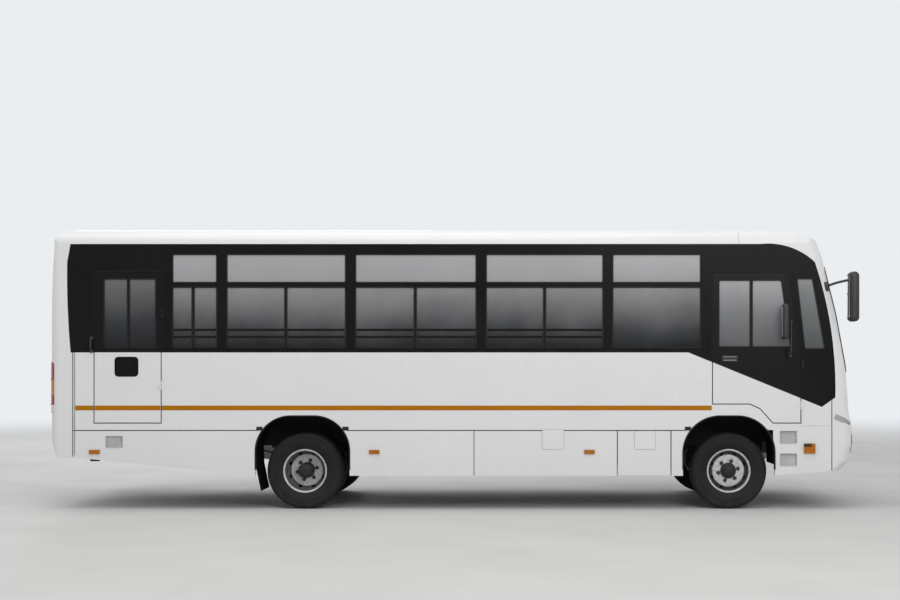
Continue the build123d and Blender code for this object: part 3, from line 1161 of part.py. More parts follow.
PEDESTAL_Y = 590.0
frame_spots = [(x, -sum(SEAT_YS) / 2) for x in RIGHT_ROWS] + [(x, sum(SEAT_YS) / 2) for x in LEFT_ROWS]
with BuildPart() as seat_frames:
    for x, y in frame_spots:
        hand = 1 if y > 0 else -1
        with Locations((x, y, FRAME_TOP - FRAME_THICK / 2)):
            Box(CUSHION_DEEP - 60, 2 * SEAT_WIDE, FRAME_THICK)
        with Locations((x, hand * PEDESTAL_Y, (FLOOR_TOP + FRAME_TOP - FRAME_THICK) / 2)):
            Box(260, 40, FRAME_TOP - FRAME_THICK - FLOOR_TOP)
    with Locations((BENCH_X, 0, FRAME_TOP - FRAME_THICK / 2)):
        Box(CUSHION_DEEP - 60, BENCH_YS[-1] - BENCH_YS[0] + SEAT_WIDE, FRAME_THICK)
    for y in (-700, 0, 700):
        with Locations((BENCH_X, y, (FLOOR_TOP + FRAME_TOP - FRAME_THICK) / 2)):
            Box(260, 40, FRAME_TOP - FRAME_THICK - FLOOR_TOP)
seat_frames.part.label = "seat_frames"
export_step(seat_frames.part, "parts/seat_frames.step")

with BuildPart() as driver_seat:
    x, y = DRIVER_SEAT
    with Locations((x, y, CUSHION_TOP + 60)):
        Box(480, 480, 110)
    with Locations((x - 290, y, CUSHION_TOP + 350)):
        Box(100, 480, 690)
    with Locations((x, y, (WELL_BOX_TOP + CUSHION_TOP + 5) / 2)):
        Box(300, 300, CUSHION_TOP + 5 - WELL_BOX_TOP)
driver_seat.part.label = "driver_seat"
export_step(driver_seat.part, "parts/driver_seat.step")

# Handrails: hoops on the floor behind the driver and beside the step well
RAIL_TUBE_R = 15.0
HOOPS = [
    # x, y of the two feet
    (2640.0, -1040.0, -460.0),
    (1690.0, 440.0, 1040.0),
    (2590.0, 420.0, 600.0),
]
HOOP_TOP = 1950.0
HOOP_MID_Z = 1480.0
with BuildPart() as handrails:
    for x, y0, y1 in HOOPS:
        with BuildLine() as hoop:
            Polyline((x, y0, FLOOR_TOP), (x, y0, HOOP_TOP), (x, y1, HOOP_TOP), (x, y1, FLOOR_TOP))
        with BuildSketch(Plane((x, y0, FLOOR_TOP))):
            Circle(RAIL_TUBE_R)
        sweep(path=hoop.line, transition=Transition.RIGHT)
        with Locations(Location((x, (y0 + y1) / 2, HOOP_MID_Z), (90, 0, 0))):
            Cylinder(RAIL_TUBE_R - 3, y1 - y0)
handrails.part.label = "handrails"
export_step(handrails.part, "parts/handrails.step")

# Dashboard with the wheel on its column
DASH_HALF = 1060.0
WHEEL_X = 3850.0
WHEEL_Y = -760.0
WHEEL_Z = 1700.0
with BuildPart() as dashboard:
    with BuildSketch(Plane.XZ.offset(-DASH_HALF)):
        Polygon((4200, FLOOR_TOP), (4380, FLOOR_TOP), (4380, 1540), (4260, 1590), (4140, 1520), (4200, 1400), align=None)
    extrude(amount=2 * DASH_HALF)
    with BuildSketch(Plane(origin=(4210, WHEEL_Y, 1420), z_dir=(WHEEL_X - 4210, 0, WHEEL_Z - 1420))):
        Circle(30)
    extrude(amount=Vector(WHEEL_X - 4210, 0, WHEEL_Z - 1420).length)
    rim_plane = Plane(origin=(WHEEL_X, WHEEL_Y, WHEEL_Z), x_dir=(0, 1, 0), z_dir=(WHEEL_X - 4210, 0, WHEEL_Z - 1420))
    with BuildSketch(rim_plane.offset(-10)):
        Circle(230)
        Circle(200, mode=Mode.SUBTRACT)
        for turn in (0, 120, 240):
            Rectangle(210, 34, align=(Align.MIN, Align.CENTER), rotation=turn)
        Circle(60)
    extrude(amount=26)
dashboard.part.label = "dashboard"
export_step(dashboard.part, "parts/dashboard.step")

# Guard bars inside the lower panes
GUARD_ZS = (2028.0, 1948.0)
GUARD_HIGH = 27.0
GUARD_THICK = 14.0
with BuildPart() as window_guards:
    for side_y in (-INNER_Y + GUARD_THICK / 2, INNER_Y - GUARD_THICK / 2):
        for z in GUARD_ZS:
            with Locations(((-3230 + 1715) / 2, side_y, z)):
                Box(1715 + 3230, GUARD_THICK, GUARD_HIGH)
window_guards.part.label = "window_guards"
export_step(window_guards.part, "parts/window_guards.step")

# Amber marker lamps along the skirts and the front side indicators
MARKERS = [(-4073.0, 650.0), (-910.0, 650.0), (1522.0, 650.0)]
MARKER = (118.0, 46.0, 14.0)
INDICATOR = (4008.0, 690.0, 126.0, 110.0, 24.0)
with BuildPart() as marker_lamps:
    for hand in (-1, 1):
        for x, z in MARKERS:
            with Locations((x, hand * (HALF_WIDTH + MARKER[2] / 2), z)):
                Box(MARKER[0], MARKER[2], MARKER[1])
        with Locations((INDICATOR[0], hand * (HALF_WIDTH + INDICATOR[4] / 2), INDICATOR[1])):
            Box(INDICATOR[2], INDICATOR[4], INDICATOR[3])
marker_lamps.part.label = "marker_lamps"
export_step(marker_lamps.part, "parts/marker_lamps.step")

# Front mirrors: a head on an arm from each upper front corner
EAR_X = 4480.0
EAR_Y = 1290.0
EAR_Z = (2120.0, 2680.0)
EAR_FOOT = (4185.0, 1150.0, 2520.0)
with BuildPart() as ear_mirrors:
    for hand in (-1, 1):
        with Locations((EAR_X, hand * EAR_Y, sum(EAR_Z) / 2)):
            Box(110, 200, EAR_Z[1] - EAR_Z[0])
        foot = Vector(EAR_FOOT[0], hand * EAR_FOOT[1], EAR_FOOT[2])
        head = Vector(EAR_X, hand * EAR_Y, EAR_FOOT[2] + 40)
        with BuildSketch(Plane(origin=foot, z_dir=head - foot)):
            Circle(16)
        extrude(amount=(head - foot).length)
        with Locations((foot.X + 20, foot.Y, foot.Z)):
            Box(60, 60, 110)
    add(outer_form, mode=Mode.SUBTRACT)
ear_mirrors.part.label = "ear_mirrors"
export_step(ear_mirrors.part, "parts/ear_mirrors.step")

# Mirror on the driver's door, on a stay that stands off the door
with BuildPart() as door_mirror:
    with Locations((3710, -1310, 2120)):
        Box(70, 160, 400)
    with Locations((3775, -1330, 2120)):
        Box(120, 20, 20)
    with Locations((3775, -1270, 1748)):
        Box(40, 140, 60)
    with Locations((3775, -1330, 1940)):
        Cylinder(11, 400)
door_mirror.part.label = "door_mirror"
export_step(door_mirror.part, "parts/door_mirror.step")
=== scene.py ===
import json
import math

import bmesh
import bpy
import numpy as np
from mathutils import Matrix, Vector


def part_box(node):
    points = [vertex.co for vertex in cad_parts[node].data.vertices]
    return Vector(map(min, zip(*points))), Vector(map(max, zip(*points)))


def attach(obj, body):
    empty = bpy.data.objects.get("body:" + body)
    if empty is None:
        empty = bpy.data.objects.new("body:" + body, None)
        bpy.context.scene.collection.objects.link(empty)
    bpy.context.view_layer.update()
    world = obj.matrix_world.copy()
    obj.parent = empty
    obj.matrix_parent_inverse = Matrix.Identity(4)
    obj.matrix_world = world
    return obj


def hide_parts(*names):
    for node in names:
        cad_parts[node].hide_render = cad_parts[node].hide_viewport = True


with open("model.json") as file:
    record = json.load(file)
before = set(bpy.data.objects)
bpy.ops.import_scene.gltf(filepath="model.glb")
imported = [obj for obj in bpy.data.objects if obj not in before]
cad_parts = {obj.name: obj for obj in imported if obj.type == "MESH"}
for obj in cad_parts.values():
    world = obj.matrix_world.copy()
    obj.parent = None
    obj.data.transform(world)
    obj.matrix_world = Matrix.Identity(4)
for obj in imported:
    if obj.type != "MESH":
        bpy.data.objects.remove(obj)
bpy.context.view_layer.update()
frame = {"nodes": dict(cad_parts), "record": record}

# A front-engined midi bus in metres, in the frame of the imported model:
# +X is forward, -Y is the driver's side, +Z is up, the origin is on the ground.

# Body sizes that the trim follows
SIDE_Y = 1.2
WAIST_Z = 1.774
SEAM_Z = 0.895
STRIPE_Z = (1.120, 1.174)
STRIPE_RUNS = [
    # body, x of the film's two ends
    ("bus_body", -4.292, -4.084), ("emergency_door", -4.070, -3.327), ("bus_body", -3.313, 2.904),
]
UPPER_Z = (2.566, 2.881)
LOWER_Z = (1.830, 2.510)
POST = 0.024
SHARED_BAYS = [
    # x0, x1 of the bay, x of the post between its lower panes
    (-3.188, -2.692, -2.958), (-2.575, -1.236, -1.910), (-1.121, 0.240, -0.447),
]
RIGHT_BAYS = [*SHARED_BAYS, (0.356, 1.674, 1.015), (1.786, 2.777, None)]
LEFT_BAYS = [(-3.964, -3.382, -3.689), *SHARED_BAYS, (0.356, 1.640, 1.015)]
QUARTER_PANE = [(3.957, 1.816), (4.183, 1.816), (4.042, 2.607), (3.867, 2.607)]
DRIVER_PANES = [
    [(2.985, 1.838), (3.338, 1.838), (3.338, 2.590), (2.985, 2.590)],
    [(3.362, 1.838), (3.796, 1.838), (3.692, 2.590), (3.362, 2.590)],
]
EMERGENCY_PANES = [
    [(-3.964, 1.830), (-3.701, 1.830), (-3.701, 2.604), (-3.964, 2.604)],
    [(-3.677, 1.830), (-3.382, 1.830), (-3.382, 2.604), (-3.677, 2.604)],
]
LEFT_CAB_PANE = [(2.700, 1.838), (3.796, 1.838), (3.692, 2.590), (2.700, 2.590)]
ARCHES = [
    # x0, x1, corner radius
    (-2.255, -1.190, 0.400), (2.579, 3.618, 0.420),
]
ARCH_TOP = 1.056
BAND_KNEE = (2.640, WAIST_Z)
BAND_FALL = 0.4082
EMERGENCY = (-4.077, -3.320, 0.977, 2.687)
DRIVER_EDGE = [
    (2.913, 1.192), (3.336, 1.192), (3.450, 1.140), (3.596, 0.977), (3.912, 0.977), (3.912, 1.700),
    (3.780, 2.684), (2.913, 2.684),
]
SERVICE = (1.736, 2.534, 0.395, 2.687)
FLAP = (1.838, 2.443)
REAR_SEAM_X = -4.320
FRONT_SEAM_X = 4.262
PULL_CUP = (-3.843, -3.580, 1.503, 1.723)
HANDLE_CUP = (3.025, 3.195, 1.668, 1.740)
STEP_WELLS = [(-3.947, -3.755, 0.695, 0.831), (3.675, 3.867, 0.743, 0.888), (3.675, 3.867, 0.489, 0.632)]
GUARD_ZS = (2.028, 1.948)
GUARD_HALF = 0.0135

# Nose: x of its middle line at each height, bowed across and turned into the sides by a round corner
NOSE_Z = [0.300, 0.440, 0.540, 0.720, 0.930, 1.110, 1.622, 2.198, 2.853, 3.300]
NOSE_X = [4.300, 4.440, 4.540, 4.585, 4.588, 4.552, 4.516, 4.411, 4.249, 4.080]
BOW_RADIUS = 8.0
CORNER_R = 0.130
CORNER_Y = SIDE_Y - CORNER_R
CORNER_BACK = BOW_RADIUS - math.sqrt((BOW_RADIUS - CORNER_R) ** 2 - CORNER_Y ** 2)
BOW_END = CORNER_Y * BOW_RADIUS / (BOW_RADIUS - CORNER_R)
TAIL_X = -4.588
TAIL_LEAN = (0.00726, 0.03325)

# Seats: centres of the rows and of the places in a row
CUSHION = (0.430, 0.430, 0.090)
BACK = (0.080, 0.430, 0.730)
CUSHION_TOP = 1.425
ROW_PITCH = 0.760
RIGHT_ROWS = [-2.900 + ROW_PITCH * k for k in range(7)] + [2.395]
LEFT_ROWS = [-3.660 + ROW_PITCH * k for k in range(7)]
ROW_YS = (0.920, 0.470)
BENCH_X = -4.190
BENCH_YS = (-0.920, -0.460, 0.0, 0.460, 0.920)


# Shapes: each gives its points and its four-cornered faces


def sheet_of(grid, wrap_rows=False, wrap_cols=False):
    """A grid of points as a shape: point (i, j) joins its next neighbours along both sides, and a wrapped
    side joins its start."""
    rows, cols = grid.shape[:2]
    i, j = np.meshgrid(np.arange(rows - (not wrap_rows)), np.arange(cols - (not wrap_cols)), indexing="ij")
    i2, j2 = (i + 1) % rows, (j + 1) % cols
    faces = np.stack([i * cols + j, i2 * cols + j, i2 * cols + j2, i * cols + j2], -1)
    return grid.reshape(-1, 3), faces.reshape(-1, 4)


def tube_of(rings):
    """Rings of points as a shape whose two ends close on their middle."""
    caps = [np.repeat(rings[k].mean(0)[None, None], rings.shape[1], 1) for k in (0, -1)]
    return sheet_of(np.concatenate([caps[0], rings, caps[1]]), False, True)


def unit(vectors):
    """Vectors divided by their lengths."""
    vectors = np.asarray(vectors, float)
    return vectors / np.linalg.norm(vectors, axis=-1, keepdims=True)


def oval(half_x, half_y, steps=8, power=1.0):
    """A closed outline: (a cos t, b sin t), with both raised to a power under one for a squarer form."""
    t = np.arange(steps) * 2 * np.pi / steps
    way = np.stack([np.cos(t), np.sin(t)], -1)
    return (half_x, half_y) * np.sign(way) * np.abs(way) ** power


def bar(half_x, half_y):
    """A closed rectangular outline with its corners cut by a fifth of the smaller half."""
    cut = 0.2 * min(half_x, half_y)
    return np.array([
        (half_x, half_y - cut), (half_x - cut, half_y), (cut - half_x, half_y), (-half_x, half_y - cut),
        (-half_x, cut - half_y), (cut - half_x, -half_y), (half_x - cut, -half_y), (half_x, cut - half_y),
    ])


def round_corners(points, radius, closed=True, steps=5):
    """A line through points whose corners are curves: from radius before a corner to radius after it, the
    point is (1-t)^2 A + 2t(1-t) P + t^2 B, with A and B on the two runs and P the corner."""
    points = np.asarray(points, float)
    before = np.roll(points, 1, 0)
    after = np.roll(points, -1, 0)
    start = points + radius * unit(before - points)
    end = points + radius * unit(after - points)
    t = np.linspace(0, 1, steps)[None, :, None]
    curve = (1 - t) ** 2 * start[:, None] + 2 * t * (1 - t) * points[:, None] + t ** 2 * end[:, None]
    if closed:
        return curve.reshape(-1, points.shape[1])
    inner = curve[1:-1].reshape(-1, points.shape[1])
    return np.vstack([points[:1], inner, points[-1:]])


def sweep(path, outline, up=(0, 0, 1), closed=False):
    """An outline carried along a path. On each run it stands square to the run; where two runs meet, it is
    moved along the first one on to the plane that halves the corner. Open ends close on their middle."""
    path = np.asarray(path, float)
    runs = unit(np.roll(path, -1, 0) - path)
    came = np.roll(runs, 1, 0)
    if not closed:
        runs[-1] = runs[-2]
        came[0] = runs[0]
    halving = unit(runs + came)
    side = unit(np.cross(came, up))
    top = np.cross(side, came)
    ring = path[:, None] + outline[None, :, :1] * side[:, None] + outline[None, :, 1:] * top[:, None]
    off = np.einsum("nkc,nc->nk", path[:, None] - ring, halving)
    off = off / np.einsum("nc,nc->n", came, halving)[:, None]
    ring = ring + off[..., None] * came[:, None]
    return sheet_of(ring, True, True) if closed else tube_of(ring)


def spin(profile, centre, axis, steps, wrap=False):
    """A profile of (radius r, distance h) turned about an axis: the point at angle a is
    centre + h axis + r (cos a s + sin a t), with s and t square to the axis."""
    profile = np.asarray(profile, float)
    axis = unit(axis)
    pick = (1, 0, 0) if abs(axis[0]) < 0.9 else (0, 0, 1)
    s = unit(np.cross(axis, pick))
    t = np.cross(axis, s)
    a = np.arange(steps) * 2 * np.pi / steps
    spokes = np.cos(a)[:, None] * s + np.sin(a)[:, None] * t
    grid = np.asarray(centre, float) + profile[None, :, 1:] * axis + profile[None, :, :1] * spokes[:, None]
    return sheet_of(grid, True, wrap)


def block(low, high, radius, steps=3):
    """A block with round edges: a direction n of a sphere grid gives (half size - radius) sign(n) +
    radius n."""
    low, high = np.asarray(low, float), np.asarray(high, float)
    half = (high - low) / 2
    radius = min(radius, half.min() * 0.999)
    quarter = np.linspace(0, np.pi / 2, steps)
    lat = np.concatenate([quarter - np.pi / 2, quarter])
    lat_sign = np.repeat([-1, 1], steps)
    lon = np.concatenate([quarter + k * np.pi / 2 for k in range(4)])
    lon_sign = np.repeat([(1, 1), (-1, 1), (-1, -1), (1, -1)], steps, 0)
    n = np.stack(np.broadcast_arrays(
        np.cos(lat)[:, None] * np.cos(lon), np.cos(lat)[:, None] * np.sin(lon), np.sin(lat)[:, None]
    ), -1)
    sign = np.empty_like(n)
    sign[..., :2] = lon_sign
    sign[..., 2] = lat_sign[:, None]
    return tube_of((low + high) / 2 + (half - radius) * sign + radius * n)


def at_y(line, y):
    """(x, z) points as points in the plane y, or each at a y of its own."""
    return np.insert(np.asarray(line, float), 1, y, 1)


def layered(outline, y, layers):
    """An outline of (x, z) points, repeated at each layer of (draw-in, level): its points move towards their
    mean by the draw-in, and the level counts from y towards the driver's side. The ends close on the mean."""
    outline = np.asarray(outline, float)
    middle = outline.mean(0)
    spokes = outline - middle
    reach = np.linalg.norm(spokes, axis=1, keepdims=True)
    ends = [np.tile(middle, (len(outline), 1))]
    rings = ends + [middle + spokes * (1 - draw / reach) for draw, _ in layers] + ends
    levels = [layers[0][1], *(level for _, level in layers), layers[-1][1]]
    return sheet_of(np.stack([at_y(ring, y - level) for ring, level in zip(rings, levels)]), False, True)


def prism(outline, y, depth, inset):
    """An outline carried depth outwards, with its two edges rounded by inset."""
    return layered(outline, y, [(inset, 0.0), (0, inset), (0, depth - inset), (inset, depth)])


def tray(outline, deep, lip=0.006):
    """A lined pocket in the driver's side: back, outer wall, a lip over the skin, inner wall and bottom."""
    return layered(outline, -SIDE_Y, [
        (0.0015, -deep), (0.001, 0.0), (-lip, 0.0003), (-lip, 0.002), (0.002, 0.0028), (0.006, 0.0),
        (0.007, 0.003 - deep),
    ])


def corners(x0, x1, z0, z1):
    """The corners of a rectangle, against the clock."""
    return [(x0, z0), (x1, z0), (x1, z1), (x0, z1)]


def framed(x0, x1, z0, z1, radius=0.012):
    """A rectangle with round corners as an outline."""
    return round_corners(corners(x0, x1, z0, z1), radius)


def grown(points, by):
    """A closed outline drawn against the clock, moved out by a distance: each corner goes along the halving
    line of its two edges' normals, by the distance over the cosine of half their angle."""
    points = np.asarray(points, float)
    runs = unit(np.roll(points, -1, 0) - points)
    normal = np.stack([runs[:, 1], -runs[:, 0]], -1)
    before = np.roll(normal, 1, 0)
    return points + by * (normal + before) / (1 + np.einsum("nc,nc->n", normal, before))[:, None]


ACROSS = (0, 1, 0)
STRIP_PROUD = 0.0012
ROD_UP = (0.13, 0.71, 0.69)


def strip(points, wide, closed=False):
    """A flat strip along (x, z) points on the skin of the driver's side."""
    return sweep(at_y(points, -SIDE_Y), bar(wide / 2, STRIP_PROUD), ACROSS, closed)


def bent(points, radius, outline):
    """A rod through points whose corners are rounded by a radius."""
    return sweep(round_corners(points, radius, False, 6), outline, ROD_UP)


def rod(points, radius, thick):
    """The same with a round section."""
    return bent(points, radius, oval(thick / 2, thick / 2, 10))


def nose_x(y, z):
    """x of the nose's skin: the lean gives the middle line, less the fall of the bow's circle; past the bow's
    end it is the circle of the corner."""
    middle = np.interp(z, NOSE_Z, NOSE_X)
    bow = middle - BOW_RADIUS + np.sqrt(BOW_RADIUS ** 2 - y * y)
    past = np.clip(np.abs(y) - CORNER_Y, 0, CORNER_R)
    corner = middle - CORNER_BACK + np.sqrt(CORNER_R ** 2 - past ** 2)
    return np.where(np.abs(y) < BOW_END, bow, corner)


def tail_x(y, z):
    """x of the tail's skin between its corners: upright to the waist, then leaning in by a parabola of the
    height."""
    rise = np.maximum(z - WAIST_Z, 0)
    return TAIL_X + TAIL_LEAN[0] * rise + TAIL_LEAN[1] * rise ** 2 + 0 * y


def laid(loop, skin, proud, closed=True, step=0.08):
    """(y, z) runs filled in every step and laid on a skin that gives x, proud of it by a distance."""
    ends = zip(loop, loop[1:] + loop[:1]) if closed else zip(loop[:-1], loop[1:])
    runs = [np.linspace(a, b, max(2, int(math.dist(a, b) / step) + 2))[:-1] for a, b in ends]
    y, z = np.vstack(runs if closed else runs + [np.array(loop[-1:])]).T
    return np.stack([skin(y, z) + proud, y, z], -1)


def cut_frame(half, low, high, cut):
    """A (y, z) rectangle about the middle line with its corners cut off."""
    return [
        (cut - half, low), (half - cut, low), (half, low + cut), (half, high - cut), (half - cut, high),
        (cut - half, high), (-half, high - cut), (-half, low + cut),
    ]


PULLED_IN = 0.035
CHANNEL_DEEP = 0.007
CHANNEL_WIDE = 0.06


def pad(centre, half, crown, channels, order=(0, 1, 2), steps=17):
    """A stuffed pad: with s and t from -1 to 1, its two faces stand off by h ((1 - s^6)(1 - t^6))^0.4. The
    front one has a crown of (1 - s^2)(1 - t^2) and sinks along each channel, and the sides pull in between
    the corners. order tells which of s, t and h lies along X, Y and Z."""
    k = np.sin(np.linspace(-np.pi / 2, np.pi / 2, steps))
    s, t = np.meshgrid(k, k, indexing="ij")
    fall_s, fall_t = 1 - s ** 2, 1 - t ** 2
    swell = ((1 - s ** 6) * (1 - t ** 6)) ** 0.4
    along, across = s * half[0] * (1 - PULLED_IN * fall_t), t * half[1] * (1 - PULLED_IN * fall_s)
    front = half[2] * swell + crown * fall_s * fall_t
    for at in channels:
        front = front - CHANNEL_DEEP * np.exp(-((t - at) / CHANNEL_WIDE) ** 2) * swell
    return joined([
        sheet_of(np.stack([along, across, height], -1)[..., order] + np.asarray(centre, float))
        for height in (front, -half[2] * swell)
    ])


def joined(shapes):
    """Several shapes as one."""
    start = np.cumsum([0] + [len(points) for points, _ in shapes[:-1]])
    return np.vstack([p for p, _ in shapes]), np.vstack([f + n for (_, f), n in zip(shapes, start)])


def mirrored(shape):
    """The same shape on the other side of the bus."""
    points, faces = shape
    return points * (1, -1, 1), faces


def both_sides(shapes):
    """Shapes of the driver's side on both sides."""
    return [*shapes, *map(mirrored, shapes)]


# Nodes, and the effects that several materials share


def node(tree, kind, sockets=(), **settings):
    """A node with its settings; a socket is linked if it is given a node's output, or else set to a value."""
    made = tree.nodes.new("ShaderNode" + kind)
    for label, value in settings.items():
        setattr(made, label, value)
    for label, value in sockets:
        if isinstance(value, bpy.types.NodeSocket):
            tree.links.new(value, made.inputs[label])
        else:
            made.inputs[label].default_value = value
    return made


def place(tree):
    """Object coordinates, which are metres in the bus's own frame."""
    return node(tree, "TexCoord").outputs["Object"]


def axes(tree):
    """The same coordinates, one by one."""
    return node(tree, "SeparateXYZ", ((0, place(tree)),)).outputs


def calc(tree, operation, first, second=0.0):
    """The result of one sum on two values."""
    return node(tree, "Math", ((0, first), (1, second)), operation=operation).outputs[0]


def times(tree, first, second):
    """One value times another."""
    return calc(tree, "MULTIPLY", first, second)


def spread(tree, value, low, high, to_low=0.0, to_high=1.0, **settings):
    """A value taken from one range to another and held at its ends."""
    return node(tree, "MapRange", (
        ("Value", value), ("From Min", low), ("From Max", high), ("To Min", to_low), ("To Max", to_high)
    ), **settings).outputs[0]


def noise(tree, scale, detail, *more):
    """Noise from 0 to 1."""
    sockets = ("Vector", place(tree)), ("Scale", scale), ("Detail", detail), *more
    return node(tree, "TexNoise", sockets).outputs[0]


def cloudy_tone(tree, given):
    """Clouds from 0 to 1: noise with its contrast raised."""
    return spread(tree, noise(tree, given["Scale"], 5.0), 0.3, 0.7)


def road_dust(tree, given):
    """Road dust: full at the wheels' height, none above the top, broken up by clouds."""
    low_down = spread(tree, axes(tree)["Z"], given["Top"], 0.1)
    broken = spread(tree, noise(tree, 7.0, 6.0, ("Roughness", 0.65)), 0.32, 0.72)
    return times(tree, times(tree, low_down, broken), given["Amount"])


def surface_grain(tree, given):
    """Moulded or cast grain: the mean of fine noise and a coarser one."""
    fine = noise(tree, given["Scale"], 3.0)
    coarse = noise(tree, times(tree, given["Scale"], 0.13), 2.0)
    return times(tree, calc(tree, "ADD", fine, coarse), 0.5)


def shared_effect(name, work, **inputs):
    """A node group with float inputs, each with its default; work gives its one output."""
    tree = bpy.data.node_groups.new(name, "ShaderNodeTree")
    add = tree.interface.new_socket
    for label, value in inputs.items():
        add(label, in_out="INPUT", socket_type="NodeSocketFloat").default_value = value
    add("Value", in_out="OUTPUT", socket_type="NodeSocketFloat")
    result = work(tree, tree.nodes.new("NodeGroupInput").outputs)
    tree.links.new(result, tree.nodes.new("NodeGroupOutput").inputs["Value"])
    return tree


MOTTLE = shared_effect("cloudy tone", cloudy_tone, Scale=3.0)
DUST = shared_effect("road dust", road_dust, Amount=0.3, Top=1.2)
GRAIN = shared_effect("surface grain", surface_grain, Scale=400.0)


def effect(tree, shared, **values):
    """One shared effect placed in a material with its own values; gives its output."""
    made = tree.nodes.new("ShaderNodeGroup")
    made.node_tree = shared
    for label, value in values.items():
        made.inputs[label].default_value = value
    return made.outputs[0]


def blended(tree, mask, first, second):
    """One colour over another by a mask."""
    colours = [c if isinstance(c, bpy.types.NodeSocket) else (*c, 1.0) for c in (first, second)]
    return node(tree, "Mix", zip((0, 6, 7), (mask, *colours)), data_type="RGBA").outputs[2]


def overlaid(tree, colour, over):
    """A colour with others laid on it, each by its own mask."""
    for mask, laid_on in over:
        colour = blended(tree, mask(tree), colour, laid_on)
    return colour


# Masks: each is a function that gives its value, from 0 to 1, in a material's tree
EDGE = 0.002


def band(tree, value, low, high, soft=EDGE):
    """1 where a value lies from low to high."""
    return times(tree, spread(tree, value, low, low + soft), spread(tree, value, high + soft, high))


def between(axis, low, high):
    """A mask of 1 from low to high along an axis."""
    return lambda tree: band(tree, axes(tree)[axis], low, high)


def both(first, second):
    """Where two masks meet."""
    return lambda tree: times(tree, first(tree), second(tree))


def faint(mask, share):
    """A share of a mask."""
    return lambda tree: times(tree, mask(tree), share)


def above_line(knee_x, knee_z, fall):
    """A mask of 1 above a line that is level up to its knee and then falls by that much a metre."""
    def mask(tree):
        at = axes(tree)
        past = calc(tree, "MAXIMUM", calc(tree, "SUBTRACT", at["X"], knee_x), 0.0)
        level = calc(tree, "ADD", at["Z"], times(tree, past, fall))
        return spread(tree, level, knee_z, knee_z + EDGE)
    return mask


WHEEL_MIDDLE_X = 0.7015
HALF_WHEELBASE = 2.4055
AXLE_Z = 0.430


def wheel_shade_ring(inner, outer):
    """A mask of 1 between two radii round the nearer axle, where shade is painted: the radius is the length
    of (|x - middle| - half the wheelbase, z - axle height)."""
    def mask(tree):
        at = axes(tree)
        off = calc(tree, "ABSOLUTE", calc(tree, "SUBTRACT", at["X"], WHEEL_MIDDLE_X))
        legs = calc(tree, "SUBTRACT", off, HALF_WHEELBASE), calc(tree, "SUBTRACT", at["Z"], AXLE_Z)
        square = calc(tree, "ADD", *(times(tree, leg, leg) for leg in legs))
        return band(tree, calc(tree, "SQRT", square), inner, outer, 3 * EDGE)
    return mask


# Heights for relief: a ribbed moulding and a woven cloth


def ribs(direction, pitch):
    """The height of moulded ribs: a sine of the place along one axis, pitch apart."""
    return lambda tree: calc(tree, "SINE", times(tree, axes(tree)[direction], 2 * math.pi / pitch))


def weave(threads):
    """The height of a plain weave with that many radians of thread a metre: the higher one of a sine along Y
    and a sine across it."""
    def height(tree):
        at = axes(tree)
        ways = calc(tree, "ADD", at["X"], at["Z"]), at["Y"]
        return calc(tree, "MAXIMUM", *(calc(tree, "SINE", times(tree, way, threads)) for way in ways))
    return height


# Colours that several finishes share; the enamel has its base, its tone and its range of gloss
DUST_TONE = (0.24, 0.215, 0.185)
LACQUER = (0.0050, 0.0050, 0.0053)
LACQUER_TONE = (0.0075, 0.0075, 0.0080)
ENAMEL = (0.705, 0.705, 0.700), (0.680, 0.681, 0.678), (0.24, 0.32)
AMBER = (0.46, 0.150, 0.004)


def grey(level):
    """A colour with no tint."""
    return (level,) * 3


def new_material(name):
    """A material with its tree and its shader."""
    made = bpy.data.materials.new(name)
    made.use_nodes = True
    return made, made.node_tree, made.node_tree.nodes["Principled BSDF"]


def finish(name, base, tone, rough, clouds=3.0, grain=400.0, relief=0.0004, strength=0.4, shine=0.5, dust=0.0,
           dust_top=0.9, height=None, over=(), **shader):
    """A surface whose colour drifts from base to tone in clouds, whose gloss follows the same clouds, with
    grain or another height as its relief and road dust low down. over lists masks and the colours laid on
    there; shine is the specular level, and other values go to the shader's sockets of their own names."""
    made, tree, bsdf = new_material(name)
    cloud = effect(tree, MOTTLE, Scale=clouds)
    colour = overlaid(tree, blended(tree, cloud, base, tone), over)
    gloss = spread(tree, cloud, 0.0, 1.0, *rough)
    if dust:
        mask = effect(tree, DUST, Amount=dust, Top=dust_top)
        colour = blended(tree, mask, colour, DUST_TONE)
        gloss = calc(tree, "MAXIMUM", gloss, times(tree, mask, 0.9))
    rise = height(tree) if height else effect(tree, GRAIN, Scale=grain)
    bump = node(tree, "Bump", (("Height", rise), ("Strength", strength), ("Distance", relief))).outputs[0]
    for label, value in (("Base Color", colour), ("Roughness", gloss), ("Normal", bump)):
        tree.links.new(value, bsdf.inputs[label])
    bsdf.inputs["Specular IOR Level"].default_value = shine
    for label, value in shader.items():
        bsdf.inputs[label.replace("_", " ")].default_value = value
    return made


